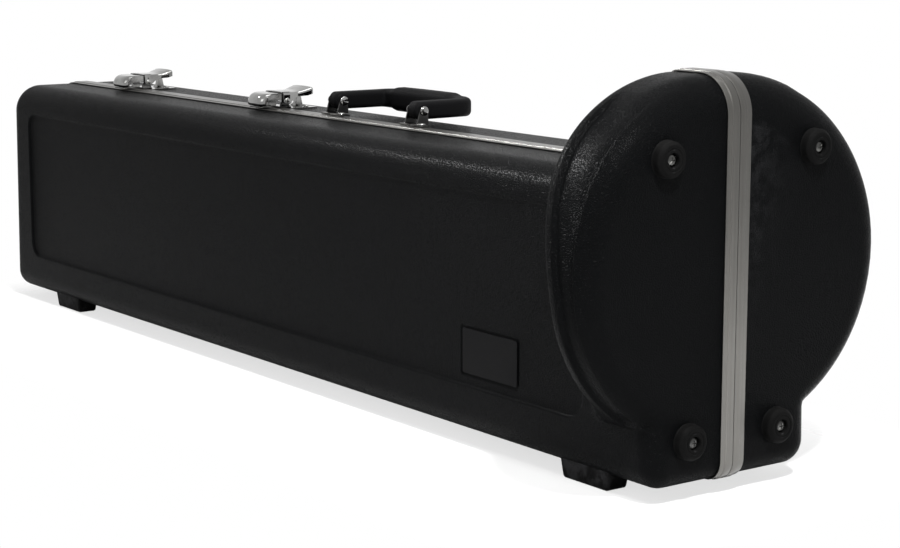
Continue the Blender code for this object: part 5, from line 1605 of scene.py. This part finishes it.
@dataclass
class Fasteners:
    """Rivets, screws and pins as finely turned pieces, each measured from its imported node.

    A rivet's or screw's two sizes are its shank's radius and its head's height. A pin's two are its heads'
    height and its shank's share of their radius. Under, rim, dome, end_cut and the cross's reach, waist,
    depth and draft are shares of the head's own size.
    """

    shop: Workshop
    rivet: Pair = (0.0016, 0.0013)
    keeper_screw: Pair = (0.0022, 0.0016)
    bumper_screw: Pair = (0.0020, 0.0018)
    latch_pin: Pair = (0.0009, 0.52)
    handle_pin: Pair = (0.0016, 0.55)
    hinge_pin: Pair = (0.0008, 0.54)
    plain_pin: Pair = (0.0, 1.0)
    tip: float = 0.0003
    under: float = 0.93
    rim: Pair = (0.12, 0.3)
    dome: float = 0.75
    dome_steps: int = 6
    end_cut: float = 0.2
    head_steps: int = 8
    head_sides: int = 36
    pin_sides: int = 30
    cross_reach: float = 0.62
    cross_half: float = 0.0005
    cross_waist: float = 0.7
    cross_depth: float = 0.55
    cross_draft: Pair = (0.7, 1.25)

    def measured(self, node: str, axis: Vector) -> tuple[Vector, float, float]:
        """Where a node starts, how long it is and how wide.

        Args:
            node: The node's name.
            axis: Its axis, which points to its head.

        Returns:
            The start on the axis, the length and the largest radius.
        """
        low, high = self.shop.spot(node)
        middle, half = (low + high) / 2, (high - low) / 2
        reach = abs(half.dot(axis))
        radius = half.dot(Vector([1 - abs(value) for value in axis])) / 2
        return middle - axis * reach, 2 * reach, radius

    def headed(self, node: str, axis: Vector, sizes: Pair, style: Head = Head.CROSS) -> None:
        """Rebuilds a screw or rivet.

        Args:
            node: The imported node.
            axis: The direction from its tip to its head.
            sizes: The shank's radius and the head's height.
            style: How the head is finished.
        """
        start, length, radius = self.measured(node, axis)
        shank, head = sizes
        under = length - head
        profile = [(0.0, 0.0), (shank - self.tip, 0.0), (shank, self.tip), (shank, under)]
        profile += [(radius * self.under, under), *((radius, under + head * share) for share in self.rim)]
        for turn in (QUARTER * share for share in shares(self.head_steps, 1)):
            profile.append((radius * math.cos(turn), under + head * mix(self.rim[1], 1.0, math.sin(turn))))
        mesh = turned_mesh(node, profile, start, axis, self.head_sides)
        if style is Head.CROSS:
            mesh = self.crossed(mesh, start + axis * (length - head * self.cross_depth), axis, radius)
        self.shop.stand_in(node, mesh)

    def crossed(self, mesh: bpy.types.Mesh, floor: Vector, axis: Vector, radius: float) -> bpy.types.Mesh:
        """Cuts a cross recess into a head.

        Args:
            mesh: The fastener.
            floor: The recess's deepest place.
            axis: The direction out of it.
            radius: The head's radius.

        Returns:
            The cut mesh.
        """
        reach, half = radius * self.cross_reach, self.cross_half
        waist = half * self.cross_waist
        outline = []
        for k in range(4):
            spin = Matrix.Rotation(QUARTER * k, 2)
            outline += [spin @ Vector(point) for point in ((reach, -waist), (reach, waist), (half, half))]
        turn = UP.rotation_difference(axis).to_matrix()
        rings = []
        for size, rise in zip(self.cross_draft, (0.0, radius)):
            rings.append([floor + turn @ Vector((*(spot * size), rise)) for spot in outline])
        return combined(mesh, swept_mesh("cross", rings))

    def pin(self, node: str, sizes: Pair) -> None:
        """Rebuilds a pin along X with a domed head at each end, or a plain one.

        Args:
            node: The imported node.
            sizes: Each head's height, zero for a plain pin, and the shank's share of the head's radius.
        """
        start, length, radius = self.measured(node, ALONG)
        height, shank = sizes
        if height:
            turns = [QUARTER * share for share in shares(self.dome_steps)]
            half = [(radius * math.sin(turn), height * self.dome * (1 - math.cos(turn))) for turn in turns]
            half += [(radius, height), (radius * shank, height)]
        else:
            half = [(0.0, 0.0), (radius * (1 - self.end_cut), 0.0), (radius, radius * self.end_cut)]
        profile = half + [(wide, length - rise) for wide, rise in reversed(half)]
        self.shop.stand_in(node, turned_mesh(node, profile, start, ALONG, self.pin_sides))

    def build(self) -> None:
        """Rebuilds every fastener."""
        for side, corner in (("left", "upper"), ("right", "lower")):
            for place in ("a", "b"):
                self.headed(f"latch_rivet_{side}_{place}", UP, self.rivet, Head.DOMED)
            self.headed(f"handle_screw_{side}", UP, self.rivet)
            self.headed(f"keeper_{side}_screw", ACROSS, self.keeper_screw)
            self.pin(f"latch_pin_{side}", self.latch_pin)
            self.pin(f"latch_hook_pin_{side}", self.plain_pin)
            self.pin(f"handle_pin_{side}", self.handle_pin)
            for half in ("lid", "base"):
                self.headed(f"bumper_screw_{half}_{corner}", ALONG, self.bumper_screw)
        for place in ("left", "middle", "right"):
            self.pin(f"hinge_pin_{place}", self.hinge_pin)
        self.pin("accessory_hinge_pin", self.plain_pin)


@dataclass
class DrawLatches:
    """The pressed levers and hooks of both latches. Y is from the parting plane and Z from the box's top.

    The lever narrows over waist, and half_widths are its near end's, its waist's and its tip's. Flange is its
    lower edge as (Y, Z), and lever_places say where its rings crowd together, how closely, and how fast they
    spread. Slot is one slot's two X and its far Y. Bend is the nose's middle in Y and its radius, and
    nose_span the Y where the nose starts to round back and the run of that. Arm is one arm's two X, and boss
    the Y, Z and radius of its far end. Cheek and stud are outlines as (Y, Z).
    """

    shop: Workshop
    base_height: float
    sheet: float = 0.0012
    lever_near: float = 0.0064
    lever_tip: float = 0.0370
    lever_top: float = 0.0157
    tip_rise: float = 0.0030
    waist: Pair = (0.0130, 0.0220)
    half_widths: tuple[float, float, float] = (0.0163, 0.0142, 0.0168)
    shoulder: float = 0.0024
    crown: float = 0.0006
    bead: float = 0.0008
    bead_run: float = 0.0032
    outer_steps: int = 6
    inner_steps: int = 4
    boss_steps: int = 12
    least_wall: float = 0.0008
    least_bend: float = 0.0002
    fullest_bend: float = 0.8
    lever_places: tuple[float, float, float] = (0.0100, 0.0006, 0.09)
    flange: tuple[Pair, ...] = (
        (0.0064, 0.0076), (0.0080, 0.0060), (0.0100, 0.0055), (0.0125, 0.0058), (0.0150, 0.0070),
        (0.0190, 0.0096), (0.0230, 0.0110), (0.0280, 0.0116), (0.0320, 0.0118), (0.0370, 0.0132),
    )
    slot: tuple[float, float, float] = (0.0122, 0.0146, 0.0143)
    hook_half: float = 0.0143
    hook_top: float = 0.0150
    hook_far: float = 0.0040
    bend: Pair = (-0.0080, 0.0085)
    nib_low: float = 0.0038
    nib_radius: float = 0.0020
    nib_tip: float = -0.0114
    nose_round: float = 0.0085
    nose_reach: float = 0.75
    nose_fullness: float = 0.96
    nose_span: Pair = (-0.002, 0.009)
    hook_steps: int = 24
    bend_steps: int = 10
    arm: Pair = (0.0127, 0.0141)
    cheek: tuple[Pair, ...] = (
        (-0.0056, 0.0148), (-0.0088, 0.0134), (-0.0112, 0.0110), (-0.0118, 0.0086), (-0.0105, 0.0074)
    )
    cheek_low: float = 0.0088
    boss: tuple[float, float, float] = (0.0100, 0.0121, 0.0021)
    stud_half: float = 0.0028
    stud: tuple[Pair, ...] = (
        (0.0265, 0.0012), (0.0350, 0.0012), (0.0340, 0.0050), (0.0330, 0.0100),
        (0.0315, 0.0128), (0.0295, 0.0132), (0.0282, 0.0115), (0.0280, 0.0060),
    )
    stud_round: float = 0.001
    edge: float = 0.00025

    def lever_ring(self, y: float) -> list[Vector]:
        """The lever's channel section at a place along it.

        Args:
            y: The place.

        Returns:
            The section's points.
        """
        share = ease((y - self.waist[1]) / (self.lever_tip - self.waist[1]))
        narrow = ease((y - self.waist[0]) / (self.waist[1] - self.waist[0]))
        half = mix(mix(self.half_widths[0], self.half_widths[1], narrow), self.half_widths[2], share)
        thicker = self.bead * ease((y - self.lever_tip + self.bead_run) / (self.bead_run / 2))
        top = self.lever_top + self.tip_rise * share + thicker / 2
        pairs = zip(self.flange, self.flange[1:])
        low = next(mix(b, d, (y - a) / (c - a)) for (a, b), (c, d) in pairs if y <= c + SMALLEST)
        low = min(low, top - self.sheet - self.least_wall)
        radius = min(self.shoulder, (top - low) * self.fullest_bend)
        inner = max(radius - self.sheet, self.least_bend)
        under = top - self.sheet - thicker
        wall = half - self.sheet
        steps = self.outer_steps
        outer = [(-half, low), *arc((radius - half, top - radius), radius, 2 * QUARTER, QUARTER, steps)]
        for share in shares(steps, 1)[:-1]:
            x = mix(radius - half, half - radius, share)
            outer.append((x, top + self.crown * (1 - (x / half) ** 2)))
        outer += [*arc((half - radius, top - radius), radius, QUARTER, 0.0, steps), (half, low)]
        steps = self.inner_steps
        inside = [(wall, low), *arc((wall - inner, under - inner), inner, 0.0, QUARTER, steps)]
        inside += [*arc((inner - wall, under - inner), inner, QUARTER, 2 * QUARTER, steps), (-wall, low)]
        return [Vector((x, y, z)) for x, z in outer + inside]

    def lever(self, name: str) -> bpy.types.Mesh:
        """The lever with the slots that let the hook's arms through.

        Args:
            name: The mesh's name.

        Returns:
            The mesh.
        """
        detail, finest, growth = self.lever_places
        places = graded(self.lever_near, self.lever_tip, (detail, self.lever_tip), finest, growth)
        mesh = swept_mesh(name, [self.lever_ring(y) for y in places])
        near, far, end = self.slot
        low, high = self.lever_top - 2 * self.sheet, self.lever_top + self.sheet
        for start, stop in ((near, far), (-far, -near)):
            points = [(0.0, low), (end, low), (end, high), (0.0, high)]
            mesh = combined(mesh, extruded_mesh("slot", points, start, stop))
        return mesh

    def hook_section(self) -> list[Pair]:
        """The hook's bent sheet: a top plate, the bend over its nose and the nib that grips the strike.

        Returns:
            The closed section as (Y, Z).
        """
        (middle, radius), nib = self.bend, self.nib_radius
        bend = (middle, self.hook_top - radius)
        curl = (middle - radius + nib, self.nib_low + nib)
        points = [(self.hook_far, self.hook_top), *arc(bend, radius, QUARTER, 2 * QUARTER, self.bend_steps)]
        points += [*arc(curl, nib, 2 * QUARTER, 3 * QUARTER, self.outer_steps), (self.nib_tip, self.nib_low)]
        points.append((self.nib_tip, self.nib_low + self.sheet))
        points += arc(curl, nib - self.sheet, 3 * QUARTER, 2 * QUARTER, self.inner_steps)
        points += arc(bend, radius - self.sheet, 2 * QUARTER, QUARTER, self.bend_steps)
        return [*points, (self.hook_far, self.hook_top - self.sheet)]

    def hook(self, name: str) -> bpy.types.Mesh:
        """The hook, whose nose is rounded in plan, with an arm on each side.

        Args:
            name: The mesh's name.

        Returns:
            The mesh.
        """
        section = self.hook_section()
        first, run = self.nose_span
        rings = []
        for x in (mix(-self.hook_half, self.hook_half, share) for share in shares(self.hook_steps)):
            past = min(max(abs(x) - self.hook_half + self.nose_round, 0.0) / self.nose_round, 1.0)
            back = self.nose_reach * self.nose_round * (1 - math.sqrt(1 - past**2 * self.nose_fullness))
            rings.append([Vector((x, y + back * ease((first - y) / run), z)) for y, z in section])
        mesh = swept_mesh(name, rings)
        y, z, radius = self.boss
        points = [*self.cheek, (self.hook_far, self.cheek_low)]
        points += arc((y, z), radius, -QUARTER, QUARTER, self.boss_steps)
        points.append((self.hook_far, self.cheek[0][1]))
        for start, stop in (self.arm, (-self.arm[1], -self.arm[0])):
            mesh = combined(mesh, extruded_mesh("arm", points, start, stop), Joining.UNITE)
        return mesh

    def build(self) -> None:
        """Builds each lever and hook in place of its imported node."""
        outline = softened(self.stud, self.stud_round, closed=True)
        for side in ("left", "right"):
            low, high = self.shop.spot(f"latch_lever_{side}")
            place = Matrix.Translation(((low.x + high.x) / 2, 0.0, self.base_height))
            for kind, mesh in (("lever", self.lever("lever")), ("hook", self.hook("hook"))):
                node = f"latch_{kind}_{side}"
                mesh.transform(place)
                mesh.name = node
                self.shop.ease_edges(self.shop.stand_in(node, mesh), self.edge)
            stud = extruded_mesh(f"latch_stud_{side}", outline, -self.stud_half, self.stud_half)
            stud.transform(place)
            self.shop.ease_edges(self.shop.piece(stud.name, stud, "base", Slot.CHROME), self.edge)


@dataclass
class SmallFittings:
    """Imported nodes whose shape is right, with their edges eased and their finish on."""

    shop: Workshop
    sheet_edge: float = 0.00035
    board_edge: float = 0.0008

    def build(self) -> None:
        """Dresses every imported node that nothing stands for."""
        for node, shown in sorted(frame["nodes"].items()):
            if shown.hide_render:
                continue
            slot = self.shop.slots[node]
            edge = self.board_edge if slot in (Slot.BOARD, Slot.KEEPER) else self.sheet_edge
            self.shop.dress(node, 0.0 if slot is Slot.RUBBER else edge)
            log.info("dressed %s as %s", node, slot.value)


# ---- Lining ----


@dataclass
class PlushLining:
    """Plush over foam in both halves, with its edges rounded by the cloth that covers them.

    Where a keeper turns over the plush, the pressed place runs out over press_run and rises by press_height.
    """

    shop: Workshop
    voxel: float = 0.0034
    softening: int = 5
    unevenness: float = 0.0004
    swell_size: float = 0.045
    keeper_clearance: float = 0.0008
    press_run: float = 0.010
    press_height: float = 0.004
    strip_margin: float = 0.0025
    strip_gap: float = 0.0002

    def soft_mesh(self, node: str) -> bpy.types.Mesh:
        """A packed liner's form with rounded edges and a slightly uneven surface.

        Args:
            node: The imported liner.

        Returns:
            The mesh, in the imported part's frame.
        """
        holder = placed(node, frame["nodes"][node].data.copy())
        self.shop.weld(holder)
        remesh = holder.modifiers.new("cells", "REMESH")
        remesh.mode = "VOXEL"
        remesh.voxel_size = self.voxel * 1
        smooth = holder.modifiers.new("soften", "SMOOTH")
        smooth.factor = 0.5
        smooth.iterations = self.softening
        made = evaluated_copy(holder)
        sinks = [noise.noise(vertex.co / self.swell_size) - 1.0 for vertex in made.vertices]
        shifts = [vertex.normal * self.unevenness * sink for vertex, sink in zip(made.vertices, sinks)]
        for vertex, shift in zip(made.vertices, shifts):
            vertex.co += shift
        for side in ("left", "right"):
            self.clear_keeper(made, f"keeper_{side}")
        self.clear_strip(made, "accessory_hinge_strip")
        made.shade_smooth()
        return made

    def clear_keeper(self, mesh: bpy.types.Mesh, node: str) -> None:
        """Presses the plush back where a keeper turns over it.

        Args:
            mesh: The lining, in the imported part's frame.
            node: The keeper's name.
        """
        low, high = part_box(node)
        screw_low, screw_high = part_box(f"{node}_screw")
        axis = (screw_low + screw_high) / 2
        reach = max(math.hypot(x - axis.x, z - axis.z) for x in (low.x, high.x) for z in (low.z, high.z))
        for vertex in mesh.vertices:
            past = (math.hypot(vertex.co.x - axis.x, vertex.co.z - axis.z) - reach) / self.press_run
            top = low.y - self.keeper_clearance + self.press_height * ease(past)
            if past < 1 and top < vertex.co.y < low.y + self.press_height:
                vertex.co.y = top

    def clear_strip(self, mesh: bpy.types.Mesh, node: str) -> None:
        """Presses the base half's plush back behind a hinge strip that is screwed down on it.

        Args:
            mesh: The lining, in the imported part's frame.
            node: The strip's name.
        """
        low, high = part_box(node)
        plate = [v.co for v in frame["nodes"][node].data.vertices if v.co.z > high.z - self.strip_margin]
        back = max(spot.y for spot in plate) + self.strip_gap
        margin = self.strip_margin
        for vertex in mesh.vertices:
            x, y, z = vertex.co
            beside = low.x - margin < x < high.x + margin and low.z < z < high.z + margin
            if beside and low.y - margin / 2 < y < back:
                vertex.co.y = back

    def build(self) -> None:
        """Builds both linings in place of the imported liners."""
        for side in Side:
            node = f"liner_{side.name.lower()}"
            mesh = self.soft_mesh(node)
            mesh.transform(Matrix.Translation(-self.shop.origin))
            made = self.shop.piece(f"plush_{node}", mesh, side.name.lower(), Slot.PLUSH, (node,))


# ---- Studio ----


@dataclass(frozen=True)
class Lamp:
    """One soft lamp, where it stands and what it is turned to, in metres, watts and degrees."""

    name: str
    place: tuple[float, float, float]
    size: Pair
    power: float
    aim: tuple[float, float, float] = (0.0, 0.0, 0.12)
    spread: float = 180.0


@dataclass
class Studio:
    """A pale floor, a white surround, soft lamps and the photograph's camera.

    Yaw and pitch are the camera's, in degrees, and its sensor's width is in millimetres. The strengths are
    the surround's where it lights the case and where it is seen. The glow places are where the floor starts
    to turn white and where it is wholly white. Footprint is half the case's length and width, and the floor
    turns wholly clear over floor_fade beyond it.
    """

    shop: Workshop
    camera_place: tuple[float, float, float] = (0.99780, -0.96676, 0.37998)
    yaw: float = 36.0987
    pitch: float = 9.7501
    focal_pixels: float = 2060.9
    image_width: int = 900
    sensor_width: float = 36.0
    strengths: Pair = (0.45, 1.0)
    floor_radius: float = 9.0
    floor_sides: int = 96
    floor_dark: Colour = (0.93, 0.93, 0.93)
    floor_light: Colour = (0.96, 0.96, 0.96)
    floor_roughness: float = 0.8
    floor_sheen: float = 0.1
    cloud_scale: float = 7.0
    glow_places: Pair = (0.7, 1.9)
    floor_clearness: float = 0.7
    footprint: Pair = (0.5, 0.15)
    floor_fade: Pair = (0.0, 0.09)
    lamps: tuple[Lamp, ...] = (
        Lamp("key", (1.50, -0.50, 1.85), (0.18, 0.18), 90.0),
        Lamp("drum_light", (-1.40, -0.80, 1.55), (0.6, 0.4), 1.6, (0.56, -0.11, 0.22), 18.0),
        Lamp("overhead", (0.3, 0.1, 2.3), (1.6, 1.0), 30.0),
        Lamp("side_fill", (0.6, -2.4, 1.5), (1.6, 1.2), 14.0),
    )

    def add_camera(self) -> None:
        """Puts the camera where the photograph was taken from."""
        data = bpy.data.cameras.new("photo_camera")
        data.sensor_width = self.sensor_width
        data.lens = data.sensor_width * self.focal_pixels / self.image_width
        camera = placed("photo_camera", data)
        yaw, pitch = math.radians(self.yaw), math.radians(self.pitch)
        ahead = Vector((-math.cos(yaw) * math.cos(pitch), math.sin(yaw) * math.cos(pitch), -math.sin(pitch)))
        camera.location = Vector(self.camera_place) + self.shop.origin
        camera.rotation_euler = ahead.to_track_quat("-Z", "Y").to_euler()
        bpy.context.scene.camera = camera

    def add_lamps(self) -> None:
        """Hangs the soft lamps, each turned to what it lights."""
        for lamp in self.lamps:
            data = bpy.data.lights.new(lamp.name, "AREA")
            data.shape = "RECTANGLE"
            data.size, data.size_y = lamp.size
            data.energy = lamp.power
            data.spread = math.radians(lamp.spread)
            made = placed(lamp.name, data)
            made.location = lamp.place
            made.rotation_euler = (Vector(lamp.aim) - Vector(lamp.place)).to_track_quat("-Z", "Y").to_euler()

    def seen_directly(self, sheet: NodeSheet) -> bpy.types.NodeSocket:
        """One where a ray comes from the camera, a reflection or a clear piece.

        Args:
            sheet: Where its nodes go.

        Returns:
            The result's socket.
        """
        path = sheet.add("ShaderNodeLightPath")
        shiny = sheet.math("MAXIMUM", path.outputs["Is Glossy Ray"], path.outputs["Is Transmission Ray"])
        return sheet.math("MAXIMUM", path.outputs["Is Camera Ray"], shiny)

    def add_surround(self) -> None:
        """A surround that is white where it is seen and dimmer where it lights the case."""
        world = bpy.data.worlds.new("surround")
        world.use_nodes = True
        bpy.context.scene.world = world
        sheet = NodeSheet(world.node_tree)
        lighting, seen = self.strengths
        strength = sheet.math("MULTIPLY_ADD", self.seen_directly(sheet), seen - lighting, lighting)
        background = world.node_tree.nodes["Background"]
        background.inputs["Color"].default_value = WHITE
        sheet.feed(background.inputs["Strength"], strength)

    def add_floor(self) -> None:
        """Lays a round floor under the case's feet."""
        work = bmesh.new()
        bmesh.ops.create_circle(work, cap_ends=True, segments=self.floor_sides, radius=self.floor_radius)
        mesh = bpy.data.meshes.new("floor")
        work.to_mesh(mesh)
        work.free()
        floor = placed("floor", mesh)
        mesh.materials.append(self.floor_material())

    def floor_material(self) -> bpy.types.Material:
        """A pale finish that keeps the case's shadow and turns plain white away from it.

        It is partly clear by the case and wholly clear further off, because the open lid of an upright case
        swings below its feet.

        Returns:
            The material.
        """
        paint = Painter("pale_floor")
        cloud = paint.noise(paint.place(), self.cloud_scale, detail=4.0, rough=0.6).outputs["Fac"]
        paint.join("Base Color", paint.blend(cloud, self.floor_dark, self.floor_light))
        paint.set(Roughness=self.floor_roughness, Specular_IOR_Level=self.floor_sheen)
        away = paint.vector("LENGTH", {0: paint.place()}).outputs["Value"]
        share = paint.product(paint.graded(away, self.glow_places), self.seen_directly(paint))
        glow = paint.add("ShaderNodeEmission", {"Color": WHITE, "Strength": 1.0})
        both = paint.add("ShaderNodeMixShader", {0: share, 1: paint.shader.outputs[0], 2: glow.outputs[0]})
        path = paint.add("ShaderNodeLightPath")
        seen = paint.product(path.outputs["Is Camera Ray"], self.floor_clear(paint))
        through = paint.math("MAXIMUM", seen, path.outputs["Is Shadow Ray"])
        clear = paint.add("ShaderNodeBsdfTransparent")
        whole = paint.add("ShaderNodeMixShader", {0: through, 1: both.outputs[0], 2: clear.outputs[0]})
        paint.feed(paint.tree.nodes["Material Output"].inputs["Surface"], whole.outputs[0])
        return paint.material

    def floor_clear(self, paint: Painter) -> bpy.types.NodeSocket:
        """How clear the floor is, which grows with the distance from the case's footprint.

        Args:
            paint: The floor's material.

        Returns:
            The result's socket.
        """
        parts = paint.add("ShaderNodeSeparateXYZ", {0: paint.place()})
        gaps = {}
        for k, half in enumerate(self.footprint):
            beyond = paint.math("SUBTRACT", paint.math("ABSOLUTE", parts.outputs[k]), half)
            gaps[k] = paint.math("MAXIMUM", beyond, 0.0)
        around = paint.add("ShaderNodeCombineXYZ", gaps).outputs[0]
        apart = paint.vector("LENGTH", {0: around}).outputs["Value"]
        return paint.graded(apart, self.floor_fade, (self.floor_clearness, 1.0))

    def build(self) -> None:
        """Sets the whole studio up."""
        self.add_camera()
        self.add_lamps()
        self.add_surround()
        self.add_floor()
        bpy.context.scene.view_settings.view_transform = "Standard"


def main() -> None:
    """Builds each sub-assembly in order and reports each piece that it makes."""
    logging.basicConfig(level=logging.INFO, format="%(name)s: %(message)s")
    sizes = CaseSizes()
    shop = Workshop(sizes.parting_gap)
    halves = {side: MouldedHalf(sizes, side) for side in Side}
    stages = (
        Studio(shop),
        MouldedShells(shop, halves),
        Valances(shop, halves),
        FoldingHandle(shop),
        EndBumpers(shop),
        Fasteners(shop),
        DrawLatches(shop, sizes.box_height),
        PlushLining(shop),
        SmallFittings(shop),
    )
    for stage in stages:
        before = set(bpy.data.objects.keys())
        stage.build()
        for name in sorted(set(bpy.data.objects.keys()) - before):
            log.info("%s made %s", type(stage).__name__, name)


if __name__ == "__main__":
    main()
